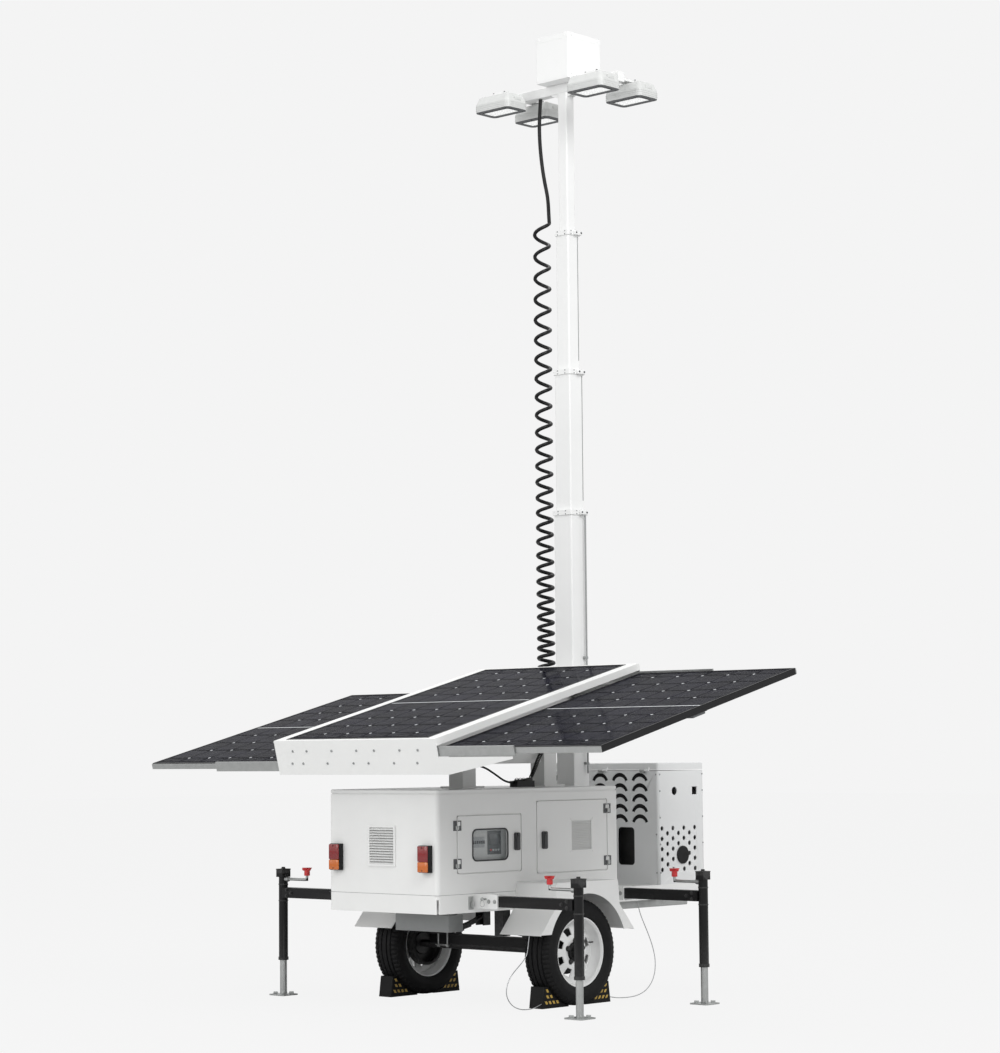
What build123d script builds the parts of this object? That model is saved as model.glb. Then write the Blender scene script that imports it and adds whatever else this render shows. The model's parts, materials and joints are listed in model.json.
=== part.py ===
from build123d import *
from math import acos, cos, degrees, radians, sin, tan
import os

# Mobile solar light tower on a single-axle trailer. Millimetres, +X towards the drawbar,
# +Y to the left, +Z up, ground at Z 0. Lengths along the trailer are measured from the
# rear face of the cabinet, and the origin is midway between the two furthest reaches.

os.makedirs("parts", exist_ok=True)

# Reach along the trailer, from the rear face of the cabinet
tow_gap = 425
array_rear = -205

# Cabinet and base frame
cab_length = 1536
cab_width = 864
cab_top = 1228
cab_corner = 26
wall = 12
floor_thickness = 6
roof_thickness = 26
roof_plate = 10
base_bottom = 545
base_height = 103
base_rail = 50
channel_sheet = 4
front_deck_height = 84

# Doors of the right side: start and end as shares of the cabinet's length, bottom and top
door_gap = 7
door_rows = {
    "door_rear": {"start": 0.105, "end": 0.443, "z1": 765, "z2": 1080, "hinge_end": -1},
    "door_front": {"start": 0.534, "end": 0.931, "z1": 742, "z2": 1150, "hinge_end": 1},
}
door_corner = 14
hinge_radius = 6
hinge_length = 44
hinge_stand = 8
hinge_inset = 52
leaf_offset = 9
leaf_width = 18
door_leaf_offset = 11
door_leaf_width = 14
pin_gap = 0.2
latch_size = (34, 96, 14)
latch_z = 928
latch_corner = 8
latch_insets = {-1: 38, 1: 56}
window_width = 287
window_z = (830, 1002)
window_offset = 5
window_corner = 30
pane_thickness = 5
vent_width = 200
vent_height = 196
vent_edge = 225
vent_centre_z = 948
vent_slats = 9
vent_slope = 0.6
vent_side = 4

# Rear louvre and lamps
louvre_width = 216
louvre_height = 228
louvre_border = 12
louvre_z = 915
louvre_slats = 14
louvre_depth = 8
slat_sheet = 3
lamp_inset = 78
lamp_z = 848
lamp_size = (45, 80, 150)

# Running gear
wheel_x = 900
wheel_radius = 300
tyre_width = 200
wheel_track = 1200
rim_radius = 192
rim_shell = 8
rim_inset = 20
rim_disc_start = 8
rim_disc_sheet = 10
rim_bore = 22.3
rim_holes = 8
rim_hole_circle = 122
rim_hole_size = (58, 30)
hub_radius = 58
hub_start = -6
hub_length = 20
hub_cap_radius = 34
hub_cap_length = 62
tyre_bead_inset = 22
tyre_bulge_rise = 40
tyre_shoulder = (5, 22, 26)
axle_size = 62
axle_rise = 34
axle_end_gap = 20
stub_radius = 22
stub_inset = 4
spring_inset = 60
spring_span = 620
spring_width = 50
spring_leaf = 8
spring_leaves = 4
spring_rise = 62
spring_step = 0.2
hanger_width = 66
hanger_length = 60
hanger_drop = 30
hanger_plate = 12

# Fenders
fender_sheet = 4
fender_reach = 142
fender_top = 700
fender_half = 262
arch_radius = 332
flap_run = 140
flap_bottom = 415
flap_knee = (14, 15)
fender_bend = 10

# Outriggers and jacks
arm_size = 60
arm_y = 1175
socket_wall = 9.7
socket_reach = 612
arm_gap = 0.3
arm_overlap = 150
jack_weld = 6
jack_cap = 30
leg_bore_gap = 1
leg_end_gap = 15
foot_corner = 10
arm_rows = {"rear": 326, "front": 1400}
jack_radius = 27
jack_bottom = 209
jack_top = 700
leg_radius = 21
foot_size = 125
foot_thickness = 8
jack_lift = 190
crank_length = 208
crank_drop = 12
crank_rise = 26
crank_radius = 7
knob_radius = 16
knob_height = 44
gear_radius = 33
gear_height = 42

# Mast, from the base upwards: outer width, top when raised
mast_gap = 92
mast_widths = (142, 124, 100, 72)
mast_wall = 4
mast_base_top = 2900
mast_travel = 830
collar_height = 30
collar_lip = 7
collar_gap = 5
guide_gap = 0.3
mast_foot = 10
mast_foot_size = 176
mast_step = 20
mast_corner = 8

# Lamp head
bar_length = 900
bar_size = 60
head_lamp_y = 380
head_lamp_x = 180
head_lamp_size = (186, 286, 92)
head_lamp_corner = 30
head_lamp_rim = 46
head_lamp_taper = 24
head_lamp_ring = 14
head_lens = 8
head_lamp_rise = 12
head_plate_rise = 24
head_plate_width = 70
head_plate_sheet = 14
head_block_size = (50, 110)
top_box_size = (305, 268, 287)
top_box_x = 27

# Generator housing in front of the mast
gen_gap = 282
gen_length = 440
gen_top = 1360
gen_sheet = 6
gen_corner = 18
lid_height = 48
lid_gap = 6
lid_hinge_inset = 100
lid_hinge_length = 70
gen_window = (228, 131)
gen_window_corner = 24
gen_window_inset = 256
gen_window_z = 857
exhaust_radius = 54
exhaust_x = 224
exhaust_z = 802
exhaust_ring = 5
exhaust_depth = 8

# Openings of the generator housing: crescents behind, holes in the right side
crescent_radius = 57
crescent_band = 20
crescent_angle = 138
crescent_steps = 6
crescent_pitch = (158, 62.5)
crescent_counts = (5, 5)
crescent_y = 30
crescent_z = 1128
hole_radius = 14
hole_start = (33, 717)
hole_pitch = (52.3, 62)
hole_columns = 7
round_port = (155, 1189, 25)
square_port = (349, 1189, 48)

# Solar array: a tilted box frame with a fixed centre module and two drawers
array_tilt = 14.3
array_z = 1515
module_length = 1722
module_width = 1134
module_thickness = 35
module_frame = 14
laminate = 7
array_rail = 78
array_rail_depth = 40
array_end_depth = 200
array_sheet = 4
array_end_flange = 60
flange_inset = 20
laminate_gap = 1
gusset_drop = 102
gusset_end = 1190
gusset_tip = 12
gusset_foot = 60
spine_width = 200
spine_depth = 20
spine_wall = 4
post_size = 110
post_wall = 6
post_tie_z = 1395
post_tie = 60
post_reach = 700
post_plate = (180, 10)
spine_gap = 3
post_shares = (0.4265, 0.8854)
slide_parts = (8, 9, 6)
slide_gap = 1
slide_heights = (32, 56, 56)
slide_mid_start = 50
slide_mid_end = 1200
drawer_levels = {"right": 56, "left": 136}
drawer_edge = 1793

# Wheel chocks
chock_toe = 70
chock_heel = 292
chock_taper = 16
chock_width = 100
chock_height = 120
chock_gap = 2

mast_x = cab_length + mast_gap
gen_x1 = mast_x + gen_gap
gen_x2 = gen_x1 + gen_length
tow_reach = gen_x2 + tow_gap
slope = radians(array_tilt)
slide_stack = sum(slide_parts) + 2 * slide_gap
end_reach = slide_stack + array_sheet
tail_reach = array_rear - end_reach * cos(slope)
origin_shift = -(tow_reach + tail_reach) / 2


def along(x):
    """Place along the trailer, from a distance ahead of the cabinet's rear face."""
    return x + origin_shift


def save(piece, label):
    """Label a finished piece and write it to its own file."""
    piece.label = label
    export_step(piece, f"parts/{label}.step")


for row in door_rows.values():
    row["x1"] = row["start"] * cab_length
    row["x2"] = row["end"] * cab_length

cab_bottom = base_bottom + base_height
socket_outer = arm_size + 2 * (arm_gap + socket_wall)
arm_z = cab_bottom - socket_outer / 2
deck_top = base_bottom + front_deck_height
half_cab = cab_width / 2
spring_y = half_cab - spring_inset
fender_outer = wheel_track / 2 + fender_reach
cab_mid = along(cab_length / 2)
base_length = gen_x2
cross_width = 80
hanger_reach = spring_span / 2 + 5
cross_members = (wheel_x - spring_span / 2, wheel_x + spring_span / 2, mast_x, gen_x1 + 40)

# Base frame: a ring of closed rail with the outrigger sockets through it
with BuildPart() as base_frame:
    with BuildSketch(Plane.XY.offset(base_bottom)):
        with Locations((along(base_length / 2), 0)):
            RectangleRounded(base_length, cab_width, cab_corner)
            Rectangle(base_length - 2 * base_rail, cab_width - 2 * base_rail, mode=Mode.SUBTRACT)
        with Locations(*[(along(cross_x), 0) for cross_x in cross_members]):
            Rectangle(cross_width, cab_width - base_rail)
    extrude(amount=front_deck_height)
    with BuildSketch(Plane.XY.offset(deck_top)):
        with Locations((cab_mid, 0)):
            RectangleRounded(cab_length, cab_width, cab_corner)
            Rectangle(cab_length - 2 * base_rail, cab_width - 2 * base_rail, mode=Mode.SUBTRACT)
    extrude(amount=base_height - front_deck_height)
    with BuildSketch(Plane.XY.offset(base_bottom)):
        with Locations((along(base_length / 2), 0)):
            Rectangle(base_length - 2 * channel_sheet, cab_width - 2 * channel_sheet)
            Rectangle(
                base_length - 2 * (base_rail - channel_sheet),
                cab_width - 2 * (base_rail - channel_sheet),
                mode=Mode.SUBTRACT,
            )
        with Locations(*[(along(cross_x), 0) for cross_x in cross_members]):
            Rectangle(cross_width - 2 * channel_sheet, cab_width - base_rail)
    extrude(amount=front_deck_height - channel_sheet, mode=Mode.SUBTRACT)
    with BuildSketch(Plane.XY.offset(base_bottom)):
        for side in (-1, 1):
            for end in (-1, 1):
                with Locations((along(wheel_x + end * hanger_reach), side * spring_y)):
                    Rectangle(cross_width, hanger_width + 20)
    extrude(amount=channel_sheet)
    for socket_x in arm_rows.values():
        with BuildSketch(Plane.XZ.offset(-socket_reach)):
            with Locations((along(socket_x), arm_z)):
                Rectangle(socket_outer, socket_outer)
        extrude(amount=2 * socket_reach)
    for socket_x in arm_rows.values():
        with BuildSketch(Plane.XZ.offset(-socket_reach)):
            with Locations((along(socket_x), arm_z)):
                Rectangle(arm_size + 2 * arm_gap, arm_size + 2 * arm_gap)
        extrude(amount=2 * socket_reach, mode=Mode.SUBTRACT)
save(base_frame.part, "base_frame")

# Drawbar with its tow eye
draw_size = 80
draw_wall = 5
brace_height = 40
draw_z = base_bottom - draw_size / 2
eye_outer = 46
eye_bore = 22
eye_thickness = 30
eye_x = tow_reach - eye_outer
draw_start = gen_x1 - 350
draw_end = eye_x - 70
brace_end = draw_end - 200
with BuildPart() as drawbar:
    with BuildSketch(Plane.YZ.offset(along(draw_start))):
        with Locations((0, draw_z)):
            RectangleRounded(draw_size, draw_size, 8)
            Rectangle(draw_size - 2 * draw_wall, draw_size - 2 * draw_wall, mode=Mode.SUBTRACT)
    extrude(amount=draw_end - draw_start)
    with BuildSketch(Plane.YZ.offset(along(draw_end - draw_wall))):
        with Locations((0, draw_z)):
            RectangleRounded(draw_size, draw_size, 8)
    extrude(amount=draw_wall)
    for side in (-1, 1):
        with BuildSketch(Plane.XY.offset(base_bottom - brace_height)):
            with BuildLine():
                Polyline(
                    (along(gen_x1 + 60), side * (half_cab - 30)),
                    (along(gen_x1), side * (half_cab - 30)),
                    (along(brace_end - 70), side * (draw_size / 2 - 5)),
                    (along(brace_end), side * (draw_size / 2 - 5)),
                    close=True,
                )
            make_face()
        extrude(amount=brace_height)
save(drawbar.part, "drawbar")

with BuildPart() as tow_eye:
    with BuildSketch(Plane.XY.offset(draw_z - eye_thickness / 2)):
        with Locations((along(eye_x), 0)):
            Circle(eye_outer)
        with Locations((along((draw_end + eye_x) / 2), 0)):
            Rectangle(eye_x - draw_end, draw_size * 0.6)
        with Locations((along(eye_x), 0)):
            Circle(eye_bore, mode=Mode.SUBTRACT)
    extrude(amount=eye_thickness)
save(tow_eye.part, "tow_eye")

# Running gear
axle_z = wheel_radius + axle_rise
half_track = wheel_track / 2
axle_half = half_track - tyre_width / 2 - axle_end_gap
stub_half = half_track - stub_inset
with BuildPart() as axle:
    with BuildSketch(Plane.XZ.offset(-axle_half)):
        with Locations((along(wheel_x), axle_z)):
            RectangleRounded(axle_size, axle_size, 6)
    extrude(amount=2 * axle_half)
    with BuildSketch(Plane.XZ.offset(-stub_half)):
        with Locations((along(wheel_x), wheel_radius)):
            Circle(stub_radius)
    extrude(amount=2 * stub_half)
save(axle.part, "axle")

spring_seat = axle_z + axle_size / 2
with BuildPart() as leaf_springs:
    for side in (-1, 1):
        for leaf in range(spring_leaves):
            half = spring_span / 2 * (1 - spring_step * leaf)
            rise = spring_rise * (half * 2 / spring_span) ** 2
            start, end = along(wheel_x - half), along(wheel_x + half)
            low = spring_seat + (spring_leaves - 1 - leaf) * spring_leaf
            with BuildSketch(Plane.XZ.offset(-(side * spring_y + spring_width / 2))):
                with BuildLine():
                    ThreePointArc((start, low + rise), (along(wheel_x), low), (end, low + rise))
                    Line((end, low + rise), (end, low + rise + spring_leaf))
                    ThreePointArc(
                        (end, low + rise + spring_leaf),
                        (along(wheel_x), low + spring_leaf),
                        (start, low + rise + spring_leaf),
                    )
                    Line((start, low + rise + spring_leaf), (start, low + rise))
                make_face()
            extrude(amount=spring_width)
save(leaf_springs.part, "leaf_springs")

hanger_low = spring_seat + spring_rise - hanger_drop
with BuildPart() as spring_hangers:
    for side in (-1, 1):
        for end in (-1, 1):
            hanger_x = wheel_x + end * hanger_reach
            with BuildSketch(Plane.XY.offset(hanger_low)):
                with Locations((along(hanger_x), side * spring_y)):
                    Rectangle(hanger_length, hanger_width)
                    with Locations((-end * hanger_length / 2, 0)):
                        Rectangle(hanger_length * 1.6, spring_width, mode=Mode.SUBTRACT)
            extrude(amount=base_bottom - hanger_low)
            with BuildSketch(Plane.XY.offset(base_bottom - hanger_plate)):
                with Locations((along(hanger_x), side * spring_y)):
                    Rectangle(hanger_length, hanger_width)
            extrude(amount=hanger_plate)
save(spring_hangers.part, "spring_hangers")

# Wheels
half_tyre = tyre_width / 2
bead_top = wheel_radius + rim_radius + 0.2
tread_top = 2 * wheel_radius
for side_name, side in (("left", 1), ("right", -1)):
    wheel_plane = Plane(
        (along(wheel_x), side * half_track, wheel_radius), x_dir=(1, 0, 0), z_dir=(0, side, 0)
    )
    inside = side * half_track - half_tyre
    outside = side * half_track + half_tyre
    shoulder_side, shoulder_drop, shoulder_in = tyre_shoulder
    with BuildPart() as tyre:
        with BuildSketch(Plane.YZ.offset(along(wheel_x))):
            with BuildLine():
                Polyline(
                    (inside + tyre_bead_inset, bead_top),
                    (inside, bead_top + tyre_bulge_rise),
                    (inside + shoulder_side, tread_top - shoulder_drop),
                    (inside + shoulder_in, tread_top),
                    (outside - shoulder_in, tread_top),
                    (outside - shoulder_side, tread_top - shoulder_drop),
                    (outside, bead_top + tyre_bulge_rise),
                    (outside - tyre_bead_inset, bead_top),
                    close=True,
                )
            make_face()
        revolve(axis=Axis((along(wheel_x), 0, wheel_radius), (0, 1, 0)))
    save(tyre.part, f"tyre_{side_name}")

    with BuildPart() as rim:
        with BuildSketch(wheel_plane.offset(rim_inset - half_tyre)):
            Circle(rim_radius)
            Circle(rim_radius - rim_shell, mode=Mode.SUBTRACT)
        extrude(amount=tyre_width - 2 * rim_inset)
        with BuildSketch(wheel_plane.offset(rim_disc_start)):
            Circle(rim_radius - rim_shell / 2)
            Circle(rim_bore, mode=Mode.SUBTRACT)
            with PolarLocations(rim_hole_circle, rim_holes):
                Rectangle(rim_hole_size[1], rim_hole_size[0], mode=Mode.SUBTRACT)
        extrude(amount=rim_disc_sheet)
        with BuildSketch(wheel_plane.offset(hub_start)):
            Circle(hub_radius)
            Circle(rim_bore, mode=Mode.SUBTRACT)
        extrude(amount=hub_length)
        with BuildSketch(wheel_plane.offset(hub_start + hub_length)):
            Circle(hub_cap_radius)
        extrude(amount=hub_cap_length)
    save(rim.part, f"rim_{side_name}")

# Fenders over both wheels, with a slanted flap fore and aft
knee_out, knee_up = flap_knee
with BuildPart() as fenders:
    for side in (-1, 1):
        inner_y = side * half_cab
        depth = fender_outer - half_cab
        side_plane = Plane.XZ.offset(-max(inner_y, side * fender_outer))
        with BuildSketch(side_plane):
            with BuildLine():
                upper = FilletPolyline(
                    (along(wheel_x - fender_half - flap_run), flap_bottom),
                    (along(wheel_x - fender_half - knee_out), base_bottom + knee_up),
                    (along(wheel_x - fender_half), fender_top),
                    (along(wheel_x + fender_half), fender_top),
                    (along(wheel_x + fender_half + knee_out), base_bottom + knee_up),
                    (along(wheel_x + fender_half + flap_run), flap_bottom),
                    radius=fender_bend,
                )
                offset(amount=fender_sheet, side=Side.RIGHT)
            make_face()
        extrude(amount=depth)
        plate_plane = Plane.XZ.offset(-(side * fender_outer if side > 0 else -fender_outer + fender_sheet))
        with BuildSketch(plate_plane):
            with BuildLine():
                Polyline(
                    (along(wheel_x - fender_half - flap_run + 6), flap_bottom + 2),
                    (along(wheel_x - fender_half - knee_out + 2), base_bottom + knee_up - 1),
                    (along(wheel_x - fender_half + 1), fender_top - 1),
                    (along(wheel_x + fender_half - 1), fender_top - 1),
                    (along(wheel_x + fender_half + knee_out - 2), base_bottom + knee_up - 1),
                    (along(wheel_x + fender_half + flap_run - 6), flap_bottom + 2),
                    close=True,
                )
            make_face()
            with Locations((along(wheel_x), wheel_radius)):
                Circle(arch_radius, mode=Mode.SUBTRACT)
        extrude(amount=fender_sheet)
save(fenders.part, "fenders")

# Cabinet shell: hollow, with the two doorways, the window and vents cut
inner_length = cab_length - 2 * wall
inner_width = cab_width - 2 * wall
roof_z = cab_top - roof_thickness
with BuildPart() as cabinet_shell:
    with BuildSketch(Plane.XY.offset(cab_bottom)):
        with Locations((cab_mid, 0)):
            RectangleRounded(cab_length, cab_width, cab_corner)
    extrude(amount=roof_z - cab_bottom)
    with BuildSketch(Plane.XY.offset(cab_bottom + floor_thickness)):
        with Locations((cab_mid, 0)):
            Rectangle(inner_length, inner_width)
        partition_x = (door_rows["door_rear"]["x2"] + door_rows["door_front"]["x1"]) / 2
        with Locations((along(partition_x), 0)):
            Rectangle(wall, inner_width, mode=Mode.SUBTRACT)
    extrude(amount=roof_z - cab_bottom, mode=Mode.SUBTRACT)
    for row in door_rows.values():
        with BuildSketch(Plane.XZ.offset(half_cab - wall - 1)):
            with Locations((along((row["x1"] + row["x2"]) / 2), (row["z1"] + row["z2"]) / 2)):
                RectangleRounded(
                    row["x2"] - row["x1"] + 2 * door_gap, row["z2"] - row["z1"] + 2 * door_gap, door_corner
                )
        extrude(amount=wall + 2, mode=Mode.SUBTRACT)
    with BuildSketch(Plane.YZ.offset(along(-1))):
        with Locations((0, louvre_z)):
            Rectangle(louvre_width - 2 * louvre_border, louvre_height - 2 * louvre_border)
    extrude(amount=wall + 2, mode=Mode.SUBTRACT)
save(cabinet_shell.part, "cabinet_shell")

seam = 6
with BuildPart() as cabinet_roof:
    with BuildSketch(Plane.XY.offset(roof_z)):
        with Locations((cab_mid, 0)):
            RectangleRounded(cab_length - 2 * seam, cab_width - 2 * seam, cab_corner - seam)
    extrude(amount=seam)
    with BuildSketch(Plane.XY.offset(roof_z + seam)):
        with Locations((cab_mid, 0)):
            RectangleRounded(cab_length, cab_width, cab_corner)
    extrude(amount=roof_thickness - seam)
    with BuildSketch(Plane.XY.offset(roof_z)):
        with Locations((cab_mid, 0)):
            Rectangle(inner_length - 10, inner_width - 10)
    extrude(amount=roof_thickness - roof_plate, mode=Mode.SUBTRACT)
    fillet(cabinet_roof.faces().sort_by(Axis.Z)[-1].edges(), radius=6)
save(cabinet_roof.part, "cabinet_roof")

# Rear louvre: a frame on the wall with slanted slats
with BuildPart() as rear_louvre:
    with BuildSketch(Plane.YZ.offset(along(-louvre_depth))):
        with Locations((0, louvre_z)):
            RectangleRounded(louvre_width, louvre_height, louvre_border / 2)
            Rectangle(
                louvre_width - 2 * louvre_border, louvre_height - 2 * louvre_border, mode=Mode.SUBTRACT
            )
    extrude(amount=louvre_depth)
    slat_pitch = (louvre_height - 2 * louvre_border) / louvre_slats
    slat_rise = slat_pitch * 0.7
    with BuildSketch(Plane.XZ.offset(-(louvre_width / 2 - louvre_border))):
        for slat in range(louvre_slats):
            slat_z = louvre_z - louvre_height / 2 + louvre_border + slat * slat_pitch + 1
            with BuildLine():
                Polyline(
                    (along(-louvre_depth), slat_z),
                    (along(louvre_depth), slat_z + slat_rise),
                    (along(louvre_depth), slat_z + slat_rise + slat_sheet),
                    (along(-louvre_depth), slat_z + slat_sheet),
                    close=True,
                )
            make_face()
    extrude(amount=louvre_width - 2 * louvre_border)
save(rear_louvre.part, "rear_louvre")

with BuildPart() as tail_lamps:
    lamp_y = half_cab - lamp_inset
    with Locations(*[(along(-lamp_size[0] / 2), side * lamp_y, lamp_z) for side in (-1, 1)]):
        Box(*lamp_size)
    fillet(tail_lamps.edges().filter_by(Axis.X), radius=6)
save(tail_lamps.part, "tail_lamps")

# Heavy plant inside the cabinet
battery_end_gap = 124
battery_side_gap = 140
battery_height = 300
bay_start = partition_x + wall / 2
bay_end = cab_length - wall
cab_floor = cab_bottom + floor_thickness
with BuildPart() as battery_block:
    with Locations((along((bay_start + bay_end) / 2), 0, cab_floor + battery_height / 2)):
        Box(
            bay_end - bay_start - 2 * battery_end_gap,
            cab_width - 2 * wall - 2 * battery_side_gap,
            battery_height,
        )
save(battery_block.part, "battery_block")

# Control panel behind the rear door's window: a plate with a breaker box and a screen
panel_gap = 70
panel_sheet = 8
breaker_size = (130, 24, 70)
screen_size = (110, 16, 130)
panel_y = -(half_cab - wall - panel_gap)
window_mid = (door_rows["door_rear"]["x1"] + door_rows["door_rear"]["x2"]) / 2 + window_offset
window_mid_z = sum(window_z) / 2
with BuildPart() as control_panel:
    with Locations((along(window_mid), panel_y + panel_sheet / 2, (cab_floor + roof_z) / 2)):
        Box(window_width * 1.95, panel_sheet, roof_z - cab_floor)
    with Locations((along(window_mid - window_width / 4), panel_y - breaker_size[1] / 2, window_mid_z + 14)):
        Box(*breaker_size)
    with Locations((along(window_mid + window_width / 4), panel_y - screen_size[1] / 2, window_mid_z + 9)):
        Box(*screen_size)
save(control_panel.part, "control_panel")

# Doors, flush in the right side
hinge_y = -(half_cab + hinge_stand)
vent_centre_x = door_rows["door_front"]["x2"] - vent_edge
lid_hinge_y = half_cab - lid_hinge_inset
lid_z = gen_top - lid_height
lid_pin_x = along(gen_x1 - hinge_stand)
lid_pin_z = lid_z + lid_gap / 2
with BuildPart() as fixed_hinges:
    for row in door_rows.values():
        end = row["hinge_end"]
        pin_x = along(row["x1"] if end < 0 else row["x2"]) + end * door_gap / 2
        for hinge_z in (row["z1"] + hinge_inset, row["z2"] - hinge_inset):
            with BuildSketch(Plane.XY.offset(hinge_z - hinge_length / 2)):
                with Locations((pin_x, hinge_y)):
                    Circle(hinge_radius)
                with Locations((pin_x + end * leaf_offset, -half_cab - hinge_stand / 2)):
                    Rectangle(leaf_width, hinge_stand)
            extrude(amount=hinge_length / 2 - pin_gap)
    for side in (-1, 0, 1):
        with BuildSketch(Plane.XZ.offset(-(side * lid_hinge_y + lid_hinge_length / 2))):
            with Locations((lid_pin_x, lid_pin_z)):
                Circle(hinge_radius)
            with Locations((lid_pin_x + hinge_stand / 2, lid_pin_z - door_leaf_offset)):
                Rectangle(hinge_stand, door_leaf_width)
        extrude(amount=lid_hinge_length / 2 - pin_gap)
save(fixed_hinges.part, "fixed_hinges")

for door_name, row in door_rows.items():
    end = row["hinge_end"]
    door_x = (row["x1"] + row["x2"]) / 2
    door_z = (row["z1"] + row["z2"]) / 2
    pin_x = along(row["x1"] if end < 0 else row["x2"]) + end * door_gap / 2
    latch_x = along((row["x2"] if end < 0 else row["x1"]) + end * latch_insets[end])
    with BuildPart() as door:
        with BuildSketch(Plane.XZ.offset(half_cab - wall)):
            with Locations((along(door_x), door_z)):
                RectangleRounded(row["x2"] - row["x1"], row["z2"] - row["z1"], door_corner)
        extrude(amount=wall)
        if end < 0:
            with BuildSketch(Plane.XZ.offset(half_cab - wall - 1)):
                with Locations((along(window_mid), window_mid_z)):
                    RectangleRounded(window_width, window_z[1] - window_z[0], window_corner)
            extrude(amount=wall + 2, mode=Mode.SUBTRACT)
        else:
            with BuildSketch(Plane.XZ.offset(half_cab - wall - 1)):
                with Locations((along(vent_centre_x), vent_centre_z)):
                    Rectangle(vent_width, vent_height)
            extrude(amount=wall + 2, mode=Mode.SUBTRACT)
        for hinge_z in (row["z1"] + hinge_inset, row["z2"] - hinge_inset):
            with BuildSketch(Plane.XY.offset(hinge_z + pin_gap)):
                with Locations((pin_x, hinge_y)):
                    Circle(hinge_radius)
                with Locations((pin_x - end * door_leaf_offset, -half_cab - hinge_stand / 2)):
                    Rectangle(door_leaf_width, hinge_stand)
            extrude(amount=hinge_length / 2 - pin_gap)
        with BuildSketch(Plane.XZ.offset(half_cab)):
            with Locations((latch_x, latch_z)):
                RectangleRounded(latch_size[0], latch_size[1], latch_corner)
        extrude(amount=latch_size[2])
    save(door.part, door_name)

with BuildPart() as door_glass:
    with BuildSketch(Plane.XZ.offset(half_cab - wall + 3)):
        with Locations((along(window_mid), window_mid_z)):
            RectangleRounded(window_width, window_z[1] - window_z[0], window_corner)
    extrude(amount=pane_thickness)
save(door_glass.part, "door_glass")

with BuildPart() as door_vent:
    vent_pitch = vent_height / vent_slats
    with BuildSketch(Plane.YZ.offset(along(vent_centre_x - vent_width / 2))):
        for slat in range(vent_slats):
            slat_z = vent_centre_z - vent_height / 2 + slat * vent_pitch + 1
            with BuildLine():
                Polyline(
                    (-half_cab, slat_z),
                    (-half_cab + wall, slat_z + vent_pitch * vent_slope),
                    (-half_cab + wall, slat_z + vent_pitch * vent_slope + slat_sheet),
                    (-half_cab, slat_z + slat_sheet),
                    close=True,
                )
            make_face()
    extrude(amount=vent_width)
    for end in (-1, 1):
        side_start = vent_centre_x + end * vent_width / 2 - (vent_side if end > 0 else 0)
        with BuildSketch(Plane.YZ.offset(along(side_start))):
            with Locations((-half_cab + wall / 2, vent_centre_z)):
                Rectangle(wall, vent_height)
        extrude(amount=vent_side)
save(door_vent.part, "door_front_vent")

# Outriggers: a square arm with the jack tube at its end, a leg that slides, and a crank
for place, arm_x in arm_rows.items():
    for side_name, side in (("left", 1), ("right", -1)):
        jack_y = side * arm_y
        inner_y = socket_reach - arm_overlap
        arm_end = arm_y - jack_radius + jack_weld
        crank_z = jack_top - crank_drop
        with BuildPart() as arm:
            with BuildSketch(Plane.XZ.offset(-inner_y if side > 0 else inner_y)):
                with Locations((along(arm_x), arm_z)):
                    Rectangle(arm_size, arm_size)
            extrude(amount=-side * (arm_end - inner_y))
            with BuildSketch(Plane.XY.offset(jack_bottom)):
                with Locations((along(arm_x), jack_y)):
                    Circle(jack_radius)
            extrude(amount=jack_top - jack_bottom)
            with BuildSketch(Plane.XY.offset(jack_bottom)):
                with Locations((along(arm_x), jack_y)):
                    Circle(leg_radius + leg_bore_gap)
            extrude(amount=jack_top - jack_bottom - jack_cap, mode=Mode.SUBTRACT)
            with BuildSketch(Plane.XY.offset(jack_top)):
                with Locations((along(arm_x), jack_y)):
                    Rectangle(2 * gear_radius, 2 * jack_radius)
            extrude(amount=gear_height)
            with BuildSketch(Plane.XZ.offset(-jack_y)):
                with Locations((along(arm_x), crank_z)):
                    Circle(crank_radius)
            extrude(amount=side * crank_length)
            with BuildSketch(Plane.XY.offset(crank_z - crank_radius)):
                with Locations((along(arm_x), jack_y - side * crank_length)):
                    Circle(crank_radius)
            extrude(amount=crank_rise + crank_radius)
            with BuildSketch(Plane.XY.offset(crank_z + crank_rise)):
                with Locations((along(arm_x), jack_y - side * crank_length)):
                    Circle(knob_radius)
            extrude(amount=knob_height)
        save(arm.part, f"arm_{place}_{side_name}")

        with BuildPart() as leg:
            with BuildSketch(Plane.XY):
                with Locations((along(arm_x), jack_y)):
                    RectangleRounded(foot_size, foot_size, foot_corner)
            extrude(amount=foot_thickness)
            with BuildSketch(Plane.XY.offset(foot_thickness)):
                with Locations((along(arm_x), jack_y)):
                    Circle(leg_radius)
            extrude(amount=jack_top - jack_cap - jack_lift - foot_thickness - leg_end_gap)
        save(leg.part, f"leg_{place}_{side_name}")

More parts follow.
